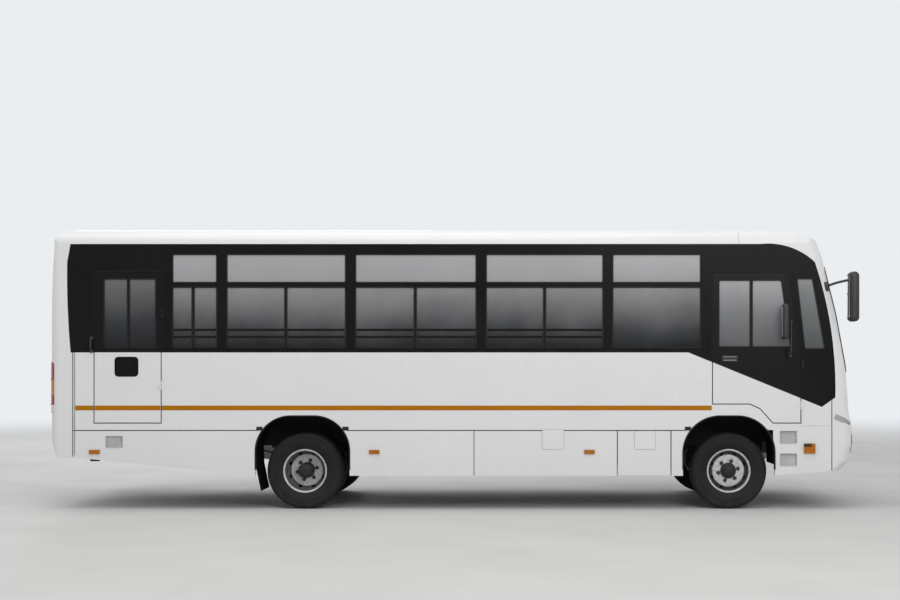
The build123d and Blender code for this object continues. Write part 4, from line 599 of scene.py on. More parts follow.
def smoked_with_painted_reflection(name, stops, alpha, drift=0.05, over=()):
    """Smoked glass with a painted reflection, light at the top of the pane and darker down it: the colour is
    a ramp of (height, grey, blue tint) stops, which drifts in clouds as a reflection wavers on bowed glass.
    over lists masks and the colours laid on there."""
    made, tree, bsdf = new_material(name)
    reflection_waver = times(tree, calc(tree, "SUBTRACT", effect(tree, MOTTLE, Scale=1.6), 0.5), drift)
    low, high = stops[0][0], stops[-1][0]
    share = spread(tree, calc(tree, "ADD", axes(tree)["Z"], reflection_waver), low, high)
    # painted reflection: the ramp makes the pane lighter at the top and darker low down
    film = node(tree, "ValToRGB", (("Fac", share),))
    marks = film.color_ramp.elements
    while len(marks) < len(stops):
        marks.new(0.5)
    for mark, (at, level, cool) in zip(marks, stops):
        mark.position = (at - low) / (high - low)
        mark.color = (level, level * (1 + 0.4 * cool), level * (1 + cool), 1)
    gloss = spread(tree, effect(tree, MOTTLE, Scale=6.0), 0.0, 1.0, 0.06, 0.10)
    tree.links.new(overlaid(tree, film.outputs[0], over), bsdf.inputs["Base Color"])
    tree.links.new(gloss, bsdf.inputs["Roughness"])
    bsdf.inputs["Alpha"].default_value = alpha
    bsdf.inputs["Specular IOR Level"].default_value = 0.18
    return made


# The guard bars behind the panes show through the glass as dark lines
SHADED_BARS = both(between("X", -3.25, 1.72), lambda tree: calc(tree, "MAXIMUM", *(
    between("Z", z - GUARD_HALF, z + GUARD_HALF)(tree) for z in GUARD_ZS
)))
FINISHES = {
    "white_paint": finish(
        "white coach enamel", *ENAMEL, clouds=1.2, grain=90.0, strength=0.12, shine=0.3, dust=0.10,
        dust_top=0.75, Coat_Weight=0.15, Coat_Roughness=0.15,
    ),
    "black_paint": finish(
        "black band lacquer", LACQUER, LACQUER_TONE, (0.20, 0.32), clouds=2.0, grain=90.0, strength=0.12,
        shine=0.09,
    ),
    "chassis_paint": finish(
        "black frame paint", (0.007, 0.007, 0.0075), (0.014, 0.013, 0.012), (0.5, 0.75), clouds=9.0,
        grain=260.0, relief=0.0006, strength=0.5, shine=0.2, dust=0.12,
    ),
    "axle_iron": finish(
        "cast axle iron", (0.020, 0.019, 0.018), (0.042, 0.035, 0.030), (0.55, 0.8), clouds=14.0,
        grain=180.0, relief=0.0012, strength=0.6, dust=0.25, Metallic=0.4,
    ),
    "spring_steel": finish(
        "oiled spring steel", (0.028, 0.029, 0.032), (0.075, 0.062, 0.052), (0.4, 0.7), clouds=16.0,
        grain=220.0, relief=0.0008, strength=0.5, dust=0.4, Metallic=0.5,
    ),
    # painted shade: the floor sheet is laid near-black from z 0.93 to 1.07, the height of the wheel arches'
    # tops
    "floor_sheet": finish(
        "speckled floor sheet", (0.10, 0.105, 0.11), (0.17, 0.175, 0.18), (0.55, 0.7), clouds=60.0,
        grain=320.0, relief=0.0006, shine=0.2, dust=0.3, over=[(between("Z", 0.93, 1.070), grey(0.005))],
    ),
    "amber_lens": finish(
        "ribbed amber lens", AMBER, (0.32, 0.090, 0.003), (0.12, 0.2), clouds=24.0, height=ribs("X", 0.006),
        relief=0.0008, strength=0.6, shine=0.2, Coat_Weight=0.15, Coat_Roughness=0.08,
        over=[(both(between("X", 3.90, 4.03), between("Z", 0.705, 0.80)), (0.06, 0.03, 0.01))],
    ),
    "clear_lens": finish(
        "clear lamp lens", (0.72, 0.74, 0.76), (0.66, 0.68, 0.70), (0.04, 0.08), clouds=4.0,
        height=ribs("Y", 0.014), relief=0.0006, strength=0.35, Alpha=0.22,
    ),
    "red_lens": finish(
        "lamp lens in three colours", (0.36, 0.012, 0.010), (0.25, 0.008, 0.008), (0.1, 0.18), clouds=9.0,
        height=ribs("Z", 0.008), relief=0.0008, strength=0.6, Coat_Weight=0.4, Coat_Roughness=0.06,
        over=[(between("Z", 1.285, 1.465), AMBER), (between("Z", 1.05, 1.18), grey(0.60))],
    ),
    "black_plastic": finish(
        "grained black plastic", (0.014, 0.014, 0.015), (0.024, 0.024, 0.025), (0.4, 0.55), clouds=8.0,
        grain=900.0, strength=0.5,
    ),
    "grey_plastic": finish(
        "grained grey plastic", (0.16, 0.165, 0.17), (0.20, 0.205, 0.21), (0.45, 0.6), clouds=6.0,
        grain=900.0, strength=0.5,
    ),
    "seat_cloth": finish(
        "woven seat cloth", (0.060, 0.085, 0.140), (0.085, 0.110, 0.165), (0.8, 0.95), clouds=22.0,
        height=weave(2600.0), relief=0.0007, strength=0.7, Sheen_Weight=0.35, Sheen_Roughness=0.5,
    ),
    "tyre_rubber": finish(
        "worn tyre rubber", grey(0.0085), (0.0145, 0.0142, 0.0138), (0.62, 0.8), clouds=14.0, grain=520.0,
        relief=0.0005, shine=0.2, dust=0.07, dust_top=0.5,
    ),
    "liner_rubber": finish(
        "wheelhouse liner", grey(0.0035), (0.007, 0.0067, 0.0065), (0.7, 0.9), clouds=10.0, grain=300.0,
        relief=0.0008, strength=0.5, shine=0.1, dust=0.03, dust_top=0.8,
    ),
    # painted shade: the disc's sloping ring round its vents, 0.178 to 0.2245 m from the axle, is laid dark
    # where it falls back into shadow
    "silver_paint": finish(
        "silver wheel paint", (0.60, 0.605, 0.61), (0.36, 0.36, 0.355), (0.34, 0.5), clouds=34.0,
        grain=500.0, relief=0.0003, strength=0.35, dust=0.10, Metallic=0.1,
        over=[(wheel_shade_ring(0.178, 0.2245), (0.085, 0.083, 0.080))],
    ),
    "tube_steel": finish(
        "brushed rail steel", (0.50, 0.50, 0.51), (0.42, 0.42, 0.43), (0.25, 0.4), clouds=5.0,
        height=ribs("Z", 0.0012), relief=0.0001, strength=0.3, Metallic=1.0,
    ),
    "alloy_core": finish(
        "finned radiator core", (0.22, 0.22, 0.225), (0.14, 0.14, 0.145), (0.5, 0.65), clouds=6.0,
        height=ribs("Z", 0.005), relief=0.002, strength=0.9, dust=0.3, dust_top=1.2, Metallic=0.6,
    ),
    # painted reflection on the side glass, light at the top and dark low down; painted light on the front
    # quarter panes, x 3.80 to 4.30, which are laid lighter; the guard bars show as dark lines
    "body_glass": smoked_with_painted_reflection(
        "smoked side glass",
        [(1.83, 0.012, 0.15), (2.02, 0.050, 0.10), (2.20, 0.128, 0.04), (2.51, 0.275, 0.02),
         (2.545, 0.340, 0.02), (2.88, 0.410, 0.02)], 0.88, 0.14,
        [(faint(between("X", 3.80, 4.30), 0.45), (0.19, 0.205, 0.21)), (SHADED_BARS, grey(0.004))],
    ),
    # painted reflection on the windscreen too: its ramp is lighter at the top
    "screen_glass": smoked_with_painted_reflection("tinted windscreen", [(1.50, 0.07, 0.12), (2.80, 0.18, 0.08)], 0.60),
}
# Painted reflection on the door and rear window glass: each ramp runs lighter at the top and darker down the
# pane
DOOR_GLASS = smoked_with_painted_reflection(
    "driver's door glass", [(1.83, 0.115, 0.06), (2.20, 0.20, 0.04), (2.60, 0.40, 0.02)], 0.9, 0.12
)
REAR_DOOR_GLASS = smoked_with_painted_reflection(
    "rear door glass", [(1.83, 0.010, 0.30), (2.10, 0.032, 0.20), (2.61, 0.150, 0.03)], 0.95, 0.12
)
QUARTER_GLASS = smoked_with_painted_reflection("rear window glass", [(1.80, 0.03, 0.2), (2.20, 0.10, 0.1), (2.72, 0.24, 0.05)], 0.85)
DRIVER_DOOR_PAINT, EMERGENCY_DOOR_PAINT = (
    finish(name, *ENAMEL, clouds=1.2, grain=90.0, strength=0.12, shine=0.13,
           over=[(above_line(*line), LACQUER)])
    for name, line in (
        ("driver's door paint", (*BAND_KNEE, BAND_FALL)), ("emergency door paint", (10.0, WAIST_Z, 0.0)),
    )
)
WELL_LINER = finish(
    "grey step liner", grey(0.50), grey(0.40), (0.45, 0.6), clouds=9.0, height=ribs("Z", 0.014), relief=0.0008
)
# Painted shade: the grey of the shadow in and beside panel joints, laid as thin strips on the skin
JOINT_SHADE = finish(
    "painted joint shade", grey(0.36), grey(0.29), (0.5, 0.6), clouds=9.0, relief=0.0002, strength=0.2
)
HINGE_PAINT = finish(
    "hinge paint", LACQUER, LACQUER_TONE, (0.3, 0.4), clouds=12.0, grain=90.0, strength=0.12, shine=0.2,
    over=[(between("Z", 0.0, 1.5), ENAMEL[1])],
)
STRIPE = finish(
    "amber stripe film", (0.405, 0.156, 0.002), (0.365, 0.136, 0.002), (0.3, 0.42), grain=300.0,
    relief=0.0001, strength=0.2, shine=0.1,
)
SEAL = finish(
    "window seal rubber", grey(0.009), grey(0.014), (0.55, 0.7), clouds=10.0, grain=600.0, relief=0.0003,
    shine=0.25,
)
HUB_PAINT = finish("black hub paint", grey(0.012), (0.022, 0.021, 0.020), (0.4, 0.6), clouds=30.0, shine=0.3)
NUT_STEEL = finish(
    "greasy wheel nuts", (0.026, 0.025, 0.024), (0.060, 0.056, 0.052), (0.35, 0.6), clouds=60.0, grain=500.0,
    Metallic=0.4,
)
BRIGHT = finish(
    "bright hardware", (0.45, 0.45, 0.46), (0.36, 0.36, 0.37), (0.22, 0.36), clouds=12.0, grain=700.0,
    relief=0.0001, strength=0.3, Metallic=0.9,
)
MIRROR_GLASS = finish(
    "mirror glass", (0.70, 0.72, 0.74), (0.64, 0.66, 0.68), (0.02, 0.05), clouds=2.0, grain=50.0,
    relief=0.00005, strength=0.1, Metallic=1.0,
)
REFLECTOR = finish(
    "lamp reflector", (0.75, 0.76, 0.77), (0.65, 0.66, 0.67), (0.06, 0.12), clouds=8.0,
    height=ribs("Z", 0.012), relief=0.001, Metallic=1.0,
)

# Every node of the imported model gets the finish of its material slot, or a look of its own
slots = {row["node"]: row["material_slot"] for row in frame["record"]["subparts"]}
OWN_LOOKS = {
    "driver_door_glass": DOOR_GLASS, "emergency_door_glass": REAR_DOOR_GLASS, "rear_window": QUARTER_GLASS,
    "driver_door": DRIVER_DOOR_PAINT, "emergency_door": EMERGENCY_DOOR_PAINT,
    "window_guards": FINISHES["chassis_paint"], "door_hinges": HINGE_PAINT,
}
for name, made in frame["nodes"].items():
    look = OWN_LOOKS.get(name, FINISHES[slots[name]])
    for slot in made.material_slots:
        slot.material = look


def piece(name, shapes, material, body="bus_body", slot=None, replaces=(), sharp=38.0):
    """A mesh of the shapes that rides on a body; its material is one of its own or a slot's finish. Doubles
    are merged and every face is turned outwards."""
    points, faces = joined(list(shapes))
    mesh = bpy.data.meshes.new(name)
    mesh.vertices.add(len(points))
    mesh.vertices.foreach_set("co", points.astype(np.float32).ravel())
    mesh.loops.add(faces.size)
    mesh.loops.foreach_set("vertex_index", faces.astype(np.int32).ravel())
    mesh.polygons.add(len(faces))
    mesh.polygons.foreach_set("loop_start", np.arange(0, faces.size, 4, dtype=np.int32))
    mesh.update(calc_edges=True)
    mesh.validate()
    work = bmesh.new()
    work.from_mesh(mesh)
    bmesh.ops.remove_doubles(work, verts=work.verts, dist=0.00002)
    bmesh.ops.dissolve_degenerate(work, edges=work.edges, dist=0.00001)
    bmesh.ops.recalc_face_normals(work, faces=work.faces)
    work.to_mesh(mesh)
    work.free()
    mesh.polygons.foreach_set("use_smooth", np.ones(len(mesh.polygons), bool))
    mesh.set_sharp_from_angle(angle=math.radians(sharp))
    mesh.materials.append(FINISHES[material] if isinstance(material, str) else material)
    made = bpy.data.objects.new(name, mesh)
    bpy.context.scene.collection.objects.link(made)
    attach(made, body)
    if replaces:
        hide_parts(*replaces)
    return made


# Wheels
TYRE_HALF = 0.115
TYRE_R = 0.430
PITCHES = 48
TREAD_COLUMNS = [
    # distance from the middle, depth of the groove there, share of the zigzag
    (0.000, 0.011, 1.0), (0.005, 0.011, 1.0), (0.007, 0.000, 1.0), (0.024, 0.000, 0.9), (0.030, 0.000, 0.9),
    (0.032, 0.011, 0.9), (0.040, 0.011, 0.9), (0.042, 0.000, 0.9), (0.058, 0.000, 0.6), (0.064, 0.000, 0.6),
    (0.066, 0.010, 0.5), (0.073, 0.010, 0.5), (0.075, 0.000, 0.4),
]
SHOULDER = [
    # radius and distance from the middle, round the shoulder and down the side wall to the bead
    (0.4295, 0.084), (0.427, 0.093), (0.421, 0.100), (0.410, 0.1055), (0.396, 0.1095), (0.394, 0.1112),
    (0.390, 0.1115), (0.388, 0.1108), (0.372, 0.1130), (0.350, 0.1145), (0.330, 0.1148), (0.327, 0.1160),
    (0.323, 0.1160), (0.320, 0.1145), (0.300, 0.1125), (0.284, 0.1095), (0.272, 0.1050), (0.262, 0.1010),
    (0.254, 0.0995), (0.248, 0.0975), (0.2462, 0.0935), (0.2440, 0.0880), (0.2365, 0.0860), (0.2362, 0.0400),
]
ZIGZAG = 0.005
# Shares of a pitch: where the tread has points, and where its notch lies
STATIONS = (0.0, 0.04, 0.24, 0.28, 0.62, 0.96)
NOTCH = (0.02, 0.26)
NOTCH_DEEP = 0.009
# Radius and distance from the middle past which the shoulder is notched
NOTCHED_FROM = (0.400, 0.076)


def around(axle, radius, angle, y):
    """Points at a radius and an angle round an axle."""
    x, z = axle[0] + radius * np.cos(angle), axle[2] + radius * np.sin(angle)
    return np.stack(np.broadcast_arrays(x, y, z), -1)


def turned(profile, at, out, steps, wrap=False):
    """A profile turned about the line through a point along Y; out is the sign of its outer side."""
    return spin(profile, at, (0, out, 0), steps, wrap)


def tyre_shape(axle, y):
    """A tyre: the half profile is mirrored, closed and turned. Tread columns swing from side to side in a
    zigzag of the angle, and the columns over the shoulder sink in one notch a pitch."""
    half = np.array([(TYRE_R - depth, off, swing) for off, depth, swing in TREAD_COLUMNS]
                    + [(r, off, 0.0) for r, off in SHOULDER])
    radius, across, swing = np.vstack([half[1:][::-1] * (1, -1, 1), half]).T
    part = np.tile(STATIONS, PITCHES)[:, None]
    angle = (np.arange(PITCHES)[:, None] + np.array(STATIONS)).reshape(-1, 1) / PITCHES * 2 * np.pi
    zigzag = ZIGZAG * (4 * np.abs(part - 0.5) - 1)
    shoulder = (radius > NOTCHED_FROM[0]) & (np.abs(across) > NOTCHED_FROM[1])
    sunk = NOTCH_DEEP * ((part > NOTCH[0]) & (part < NOTCH[1]) & shoulder)
    return sheet_of(around(axle, radius - sunk, angle, y + across + zigzag * swing), True, True)


# Disc: half height and half width of a vent, and the radii of its bore, its sectors and its flat face
VENTS = 8
VENT_R = 0.199
VENT_HALF = (0.015, 0.021)
BORE_R = 0.088
SECTOR_R = (0.150, 0.224)
FACE_R = 0.172
DISC_THICK = 0.010
DISC_STEP = 0.036
EDGE_RUN = 0.006


def dish(radius):
    """How far the disc falls back at a radius: 0 over its flat face, then a smooth step to the barrel."""
    t = np.clip((radius - FACE_R) / (SECTOR_R[1] - FACE_R), 0, 1)
    return DISC_STEP * t * t * (3 - 2 * t)


def disc_shape(axle, face_y, out, bend):
    """The wheel disc with its hand holes. Each sector is a grid from its border to the hole's edge, through
    the hole and back on the other face; the two faces meet inside the barrel. bend is +1 where the disc falls
    inwards."""
    middle_r, half_r = (SECTOR_R[1] + SECTOR_R[0]) / 2, (SECTOR_R[1] - SECTOR_R[0]) / 2
    a = math.pi / VENTS
    u = np.linspace(-1, 1, 9)[:-1]
    one = np.ones(8)
    border_a = np.concatenate([u, one, -u, -one]) * a
    border_r = middle_r + half_r * np.concatenate([-one, u, one, -u])
    way = np.arctan2((border_r - VENT_R) / half_r, border_a / a)
    hole_r = VENT_R + VENT_HALF[0] * np.sin(way)
    hole_a = VENT_HALF[1] / VENT_R * np.cos(way)
    t = np.array([0.0, 0.35, 0.7, 0.95, 1.0, 1.0, 0.95, 0.7, 0.35, 0.0])[:, None]
    back = np.array([0, 0, 0, 0, 0.15, 0.85, 1, 1, 1, 1.0])[:, None]
    radius = border_r + t * (hole_r - border_r)
    turn = border_a + t * (hole_a - border_a)
    thin = np.clip((SECTOR_R[1] - radius) / EDGE_RUN, 0, 1)
    level = -bend * dish(radius) + (0.5 - back) * DISC_THICK * thin
    sectors = [
        sheet_of(around(axle, radius, turn + a * (2 * k + 1), face_y + out * level), False, True)
        for k in range(VENTS)
    ]
    half = DISC_THICK / 2
    ring = [(SECTOR_R[0], half), (BORE_R, half), (BORE_R, -half), (SECTOR_R[0], -half)]
    return sectors + [turned(ring, around(axle, 0, 0, face_y), out, 64)]


BARREL = [
    # radius and distance from the tyre's middle, round the rim's wall and both flanges
    (0.2220, -0.086), (0.2280, -0.094), (0.2440, -0.0945), (0.2450, -0.092), (0.2440, -0.0885),
    (0.2358, -0.087), (0.2355, -0.060), (0.2250, -0.045), (0.2250, 0.020), (0.2355, 0.040), (0.2358, 0.0865),
    (0.2440, 0.0875), (0.2478, 0.0895), (0.2492, 0.0930), (0.2480, 0.0965), (0.2440, 0.0980),
    (0.2360, 0.0955), (0.2300, 0.0900), (0.2240, 0.0780), (0.2200, 0.0400), (0.2180, 0.0200),
    (0.2180, -0.045), (0.2215, -0.060),
]
# Profiles of radius and distance from the disc's face
WASHER = [(0, -0.002), (0.0215, -0.002), (0.0225, 0.004), (0.0195, 0.007), (0, 0.007)]
NUT = [(0.0, 0.004), (0.0165, 0.004), (0.0165, 0.021), (0.0145, 0.025), (0.0, 0.0255)]
STUD = [(0, 0.02), (0.0095, 0.02), (0.0095, 0.036), (0.0075, 0.039), (0, 0.039)]
CAP_SCREW = [(0, 0), (0.0065, 0), (0.0065, 0.006), (0.005, 0.0075), (0, 0.0075)]
BRAKE_DRUM = [(0, -0.130), (0.210, -0.130), (0.2165, -0.125), (0.2165, -0.064), (0.210, -0.058), (0, -0.058)]
NUT_CIRCLE = 0.114
FIRST_NUT = math.radians(12)
HEXAGON = np.arange(6) * math.pi / 3
SCREW_CIRCLE = 0.073


def nut_shapes(axle, face_y, out):
    """Six wheel nuts: a washer, a hexagon with a rounded crown and the stud's end."""
    shapes = []
    for angle in FIRST_NUT + HEXAGON:
        at = around(axle, NUT_CIRCLE, angle, face_y)
        nut = np.array([around(at, r, HEXAGON, at[1] + out * h) for r, h in NUT])
        shapes += [turned(WASHER, at, out, 20), sheet_of(nut, False, True), turned(STUD, at, out, 12)]
    return shapes


def hub_shapes(axle, face_y, reach, out):
    """The black hub: a drum through the disc, a stepped cap with a small boss and eight cap screws."""
    drum = [
        (0.034, -0.06), (0.090, -0.06), (0.090, 0.006), (0.086, 0.010), (0.084, reach - 0.026),
        (0.080, reach - 0.020), (0.064, reach - 0.018), (0.062, reach - 0.010), (0.058, reach - 0.004),
        (0.046, reach), (0.030, reach), (0.028, reach + 0.004), (0.022, reach + 0.005), (0, reach + 0.005),
        (0, -0.06), (0.034, -0.06),
    ]
    screw_y = face_y + out * (reach - 0.021)
    screws = [
        turned(CAP_SCREW, around(axle, SCREW_CIRCLE, k * math.pi / 4, screw_y), out, 10) for k in range(8)
    ]
    return [turned(drum, around(axle, 0, 0, face_y), out, 64), *screws]


# How far a disc's face lies from its tyre's middle: a front wheel, and the outer and inner one of a pair
FACE_FRONT, FACE_TWIN, FACE_INNER = 0.046, -0.076, 0.076
for name, body, out in (
    # name, body, sign of its side
    ("front_right", "wheel_front_right", -1), ("front_left", "wheel_front_left", 1),
    ("rear_right", "wheels_rear_right", -1), ("rear_left", "wheels_rear_left", 1),
):
    low, high = (np.array(corner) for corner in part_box(f"tyre_{name}"))
    axle = (low + high) / 2
    outer = max(abs(low[1]), abs(high[1])) - TYRE_HALF
    inner = min(abs(low[1]), abs(high[1])) + TYRE_HALF
    twin = outer - inner > TYRE_HALF
    rows = [outer, inner] if twin else [outer]
    piece(f"tyre_tread_{name}", [tyre_shape(axle, out * y) for y in rows], "tyre_rubber", body,
          "tyre_rubber", (f"tyre_{name}",), sharp=30.0)
    face = outer + (FACE_TWIN if twin else FACE_FRONT)
    steel = disc_shape(axle, out * face, out, -1 if twin else 1)
    if twin:
        steel += disc_shape(axle, out * (inner + FACE_INNER), -out, -1)
    for y, hand in zip(rows, (out, -out)):
        steel.append(turned(BARREL, around(axle, 0, 0, out * y), hand, 96, True))
    piece(f"wheel_disc_{name}", steel, "silver_paint", body, "silver_paint", (f"rim_{name}",), sharp=40.0)
    if not twin:
        drum = turned(BRAKE_DRUM, around(axle, 0, 0, out * face), out, 64)
        piece(f"brake_drum_{name}", [drum], "axle_iron", body)
    hub_end = max(abs(c[1]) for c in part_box(f"rim_{name}"))
    piece(f"wheel_hub_{name}", hub_shapes(axle, out * face, hub_end - face, out), HUB_PAINT, body)
    piece(f"wheel_nuts_{name}", nut_shapes(axle, out * (face + 0.005), out), NUT_STEEL, body)

# Glazing seals
SEAL_BEAD = oval(0.0065, 0.0035, 10, 0.8)
PANE_R = 0.022


def bay_panes(bays):
    """Corners of the upper and lower panes of each bay."""
    panes = []
    for x0, x1, post in bays:
        panes.append(corners(x0, x1, *UPPER_Z))
        lower = [(x0, x1)] if post is None else [(x0, post - POST / 2), (post + POST / 2, x1)]
        panes += [corners(*span, *LOWER_Z) for span in lower]
    return panes


def seals(panes, y, radius=PANE_R):
    """A bead of rubber round each pane."""
    return [sweep(at_y(round_corners(edge, radius), y), SEAL_BEAD, ACROSS, True) for edge in panes]


piece("window_seals_right", seals(bay_panes(RIGHT_BAYS) + [QUARTER_PANE], -SIDE_Y), SEAL)
piece("window_seals_left", seals(bay_panes(LEFT_BAYS) + [QUARTER_PANE, LEFT_CAB_PANE], SIDE_Y), SEAL)
piece("driver_door_seals", seals(DRIVER_PANES, -SIDE_Y), SEAL, "driver_door")
piece("emergency_door_seals", seals(EMERGENCY_PANES, -SIDE_Y), SEAL, "emergency_door")


# Stripe film, drip rails and arch edging
FILM = 0.0008


def film(x0, x1, y):
    """A thin strip of film on the side."""
    return prism(framed(x0, x1, *STRIPE_Z, 0.004), y, FILM, 0.0003)


for count, (body, x0, x1) in enumerate(STRIPE_RUNS):
    piece(f"stripe_right_{count}", [film(x0, x1, -SIDE_Y)], STRIPE, body)
piece("stripe_left", [film(-4.292, 1.722, SIDE_Y + FILM), film(2.548, 4.1, SIDE_Y + FILM)], STRIPE)

DRIP_LINE = [(-4.345, 3.004), (3.449, 3.004)]
drip_rail = sweep(at_y(DRIP_LINE, -SIDE_Y - 0.001), oval(0.006, 0.005, 8))
piece("drip_rails", both_sides([drip_rail]), "white_paint", slot="white_paint")

# Rubber edging that lines the wall's thickness round each wheel opening, with a tab at the skirt's seam
# that is given by its length, depth and height
ARCH_FOOT = 0.45
ARCH_DEEP = 0.0225
ARCH_LINING = bar(0.003, ARCH_DEEP) - (0.003, 0.0)
ARCH_BEAD = oval(0.008, 0.005, 10)
TAB = (0.070, 0.006, 0.040)


def arch_edge(x0, x1, radius, y):
    """The edge of a wheel opening: up one side, over two quarter circles and down the other."""
    turn = np.linspace(0, math.pi / 2, 17)
    along, up = radius - radius * np.cos(turn), ARCH_TOP - radius + radius * np.sin(turn)
    left, right = np.stack([x0 + along, up], -1), np.stack([x1 - along, up], -1)[::-1]
    return at_y(np.vstack([[(x0, ARCH_FOOT)], left, right, [(x1, ARCH_FOOT)]]), y)


edging = []
for x0, x1, radius in ARCHES:
    edging.append(sweep(arch_edge(x0, x1, radius, ARCH_DEEP - SIDE_Y - 0.003), ARCH_LINING, ACROSS))
    edging.append(sweep(arch_edge(x0, x1, radius, -SIDE_Y - 0.002), ARCH_BEAD, ACROSS))
    reach = math.sqrt(radius ** 2 - (SEAM_Z + 0.01 - ARCH_TOP + radius) ** 2)
    sides = [(x0 + radius - reach, -1), (x1 - radius + reach, 1)]
    for edge_x, hand in sides if x0 < 0 else sides[:1]:
        near = edge_x + hand * 0.006
        low_x, high_x = sorted((near, near + hand * TAB[0]))
        low, high = (low_x, -SIDE_Y - TAB[1], SEAM_Z), (high_x, -SIDE_Y + 0.001, SEAM_Z + TAB[2])
        edging.append(block(low, high, 0.003))
piece("arch_edging", both_sides(edging), SEAL)

# Dark joint sealant along the seams of the panels and round the doors
SEAM_WIDE = 0.008
JOINT_WIDE = 0.006
SKIRT_FOOT = 0.385
rear_arch, front_arch = ARCHES


def level(x0, x1, z=SEAM_Z - 0.003, wide=SEAM_WIDE):
    """A level strip of sealant."""
    return strip([(x0, z), (x1, z)], wide)


def upright(x, z0=SKIRT_FOOT, z1=SEAM_Z - 0.008, wide=SEAM_WIDE):
    """An upright strip of sealant."""
    return strip([(x, z0), (x, z1)], wide)


shared_seams = [
    level(REAR_SEAM_X, rear_arch[0] + 0.03), upright(0.217), upright(FRONT_SEAM_X, 0.440, 1.232, 0.009),
    upright(REAR_SEAM_X, 0.600, WAIST_Z),
]
right_seams = [
    level(rear_arch[1] - 0.03, FLAP[0]), level(*FLAP, SEAM_Z - 0.001, 0.005),
    level(FLAP[1], front_arch[0] + 0.03), upright(FLAP[0] - 0.003, wide=JOINT_WIDE),
    upright(FLAP[1] + 0.003, wide=JOINT_WIDE), strip(grown(corners(*EMERGENCY), 0.003), JOINT_WIDE, True),
    strip(grown(DRIVER_EDGE, 0.003), JOINT_WIDE, True),
]
left_seams = [
    level(rear_arch[1] - 0.03, SERVICE[0] - 0.01), strip(grown(corners(*SERVICE), 0.004), 0.007, True),
]
piece("joint_sealant", both_sides(shared_seams) + right_seams + [mirrored(s) for s in left_seams], SEAL)

# Two small lids in the skirt, the one in the battery flap included, with painted shade round them, and strips
# of painted joint shade at both ends
for name, body, x0, x1, z1 in (("lid_middle", "bus_body", 0.990, 1.231, 0.902),
                               ("lid_flap", "battery_flap", 2.031, 2.266, 0.886)):
    cover = framed(x0, x1, 0.680, z1, 0.018)
    piece(name, [prism(cover, -SIDE_Y - 0.0018, 0.0022, 0.0008)], "white_paint", body)
    piece(f"{name}_joint", [strip(grown(cover, 0.0015), 0.004, True)], JOINT_SHADE, body)
painted = [upright(-4.299, 0.612, WAIST_Z - 0.002, 0.016), level(3.925, 4.240, 0.946, 0.003)]
piece("painted_joint_shade", painted, JOINT_SHADE)

# Painted shade along the roof joint behind the cap: over the eave and the crown on each side
ROOF_JOINT_X = 3.212
EAVE = [(-1.2005, 3.012), (-1.188, 3.065), (-1.150, 3.121), (-1.090, 3.155), (-1.010, 3.1710)]
crown = [(y, 3.2105 - 0.0402 * (y / 1.01) ** 2) for y in np.linspace(-1.0, 1.0, 17)]
joint_line = EAVE + crown + [(-y, z) for y, z in EAVE[::-1]]
joint = np.array([(ROOF_JOINT_X, y, z) for y, z in joint_line])
piece("roof_joint", [sweep(joint, bar(0.004, 0.0015), (1, 0, 0))], JOINT_SHADE)

# Lined pockets in the driver's side, with their handles
x0, x1, z0, z1 = PULL_CUP
cup = framed(x0 + 0.002, x1 - 0.002, z0 + 0.002, z1 - 0.002, 0.045)
paddle = prism(framed(x0 + 0.05, x1 - 0.05, z0 + 0.075, z1 - 0.060, 0.02), -SIDE_Y + 0.014, 0.009, 0.003)
piece("emergency_latch", [tray(cup, 0.0175), paddle], "black_paint", "emergency_door")
x0, x1, z0, z1 = HANDLE_CUP
cup = framed(x0 + 0.001, x1 - 0.001, z0 + 0.001, z1 - 0.001, 0.010)
piece("driver_handle_cup", [tray(cup, 0.0165, 0.004)], "black_plastic", "driver_door")
BAR_IN, BAR_OUT = -SIDE_Y + 0.012, -SIDE_Y - 0.004
bar_line = [(x0 + 0.012, BAR_IN), (x0 + 0.016, BAR_OUT), (x1 - 0.016, BAR_OUT), (x1 - 0.012, BAR_IN)]
bars = [
    bent([(x, y, z) for x, y in bar_line], 0.006, oval(0.0085, 0.0065, 10)) for z in (z0 + 0.017, z1 - 0.017)
]
piece("driver_handle_bars", bars, "grey_plastic", "driver_door")
wells = []
for x0, x1, z0, z1 in STEP_WELLS:
    wells.append(tray(framed(x0 + 0.001, x1 - 0.001, z0 + 0.001, z1 - 0.001), 0.0275, 0.005))
    low, high = (x0 + 0.008, -SIDE_Y + 0.001, z0 + 0.003), (x1 - 0.008, -SIDE_Y + 0.024, z0 + 0.012)
    wells.append(block(low, high, 0.003))
piece("step_wells", wells, WELL_LINER)

# Grab handle by the emergency door, and the trim on the nose's corners in the grey of the painted joint shade
GRAB_X = -4.106
GRAB_ZS = (1.935, 1.785)
GRAB_FOOT = [(0, -0.004), (0.018, -0.004), (0.018, 0.004), (0.012, 0.008), (0, 0.008)]
grab_line = [(GRAB_X, -SIDE_Y, GRAB_ZS[0]), (GRAB_X, -1.238, 1.925), (GRAB_X, -1.238, 1.795),
             (GRAB_X, -SIDE_Y, GRAB_ZS[1])]
feet = [turned(GRAB_FOOT, (GRAB_X, -SIDE_Y, z), -1, 20) for z in GRAB_ZS]
piece("grab_handle", [rod(grab_line, 0.018, 0.020), *feet], "black_plastic")


def corner_line(points, proud):
    """(x, z) points on the driver's side that turn the nose's corner: past its start y follows its circle."""
    points = np.asarray(points, float)
    start = np.interp(points[:, 1], NOSE_Z, NOSE_X) - CORNER_BACK
    past = np.clip(points[:, 0] - start, 0, CORNER_R)
    return at_y(points, -CORNER_Y - np.sqrt(CORNER_R ** 2 - past ** 2) - proud)


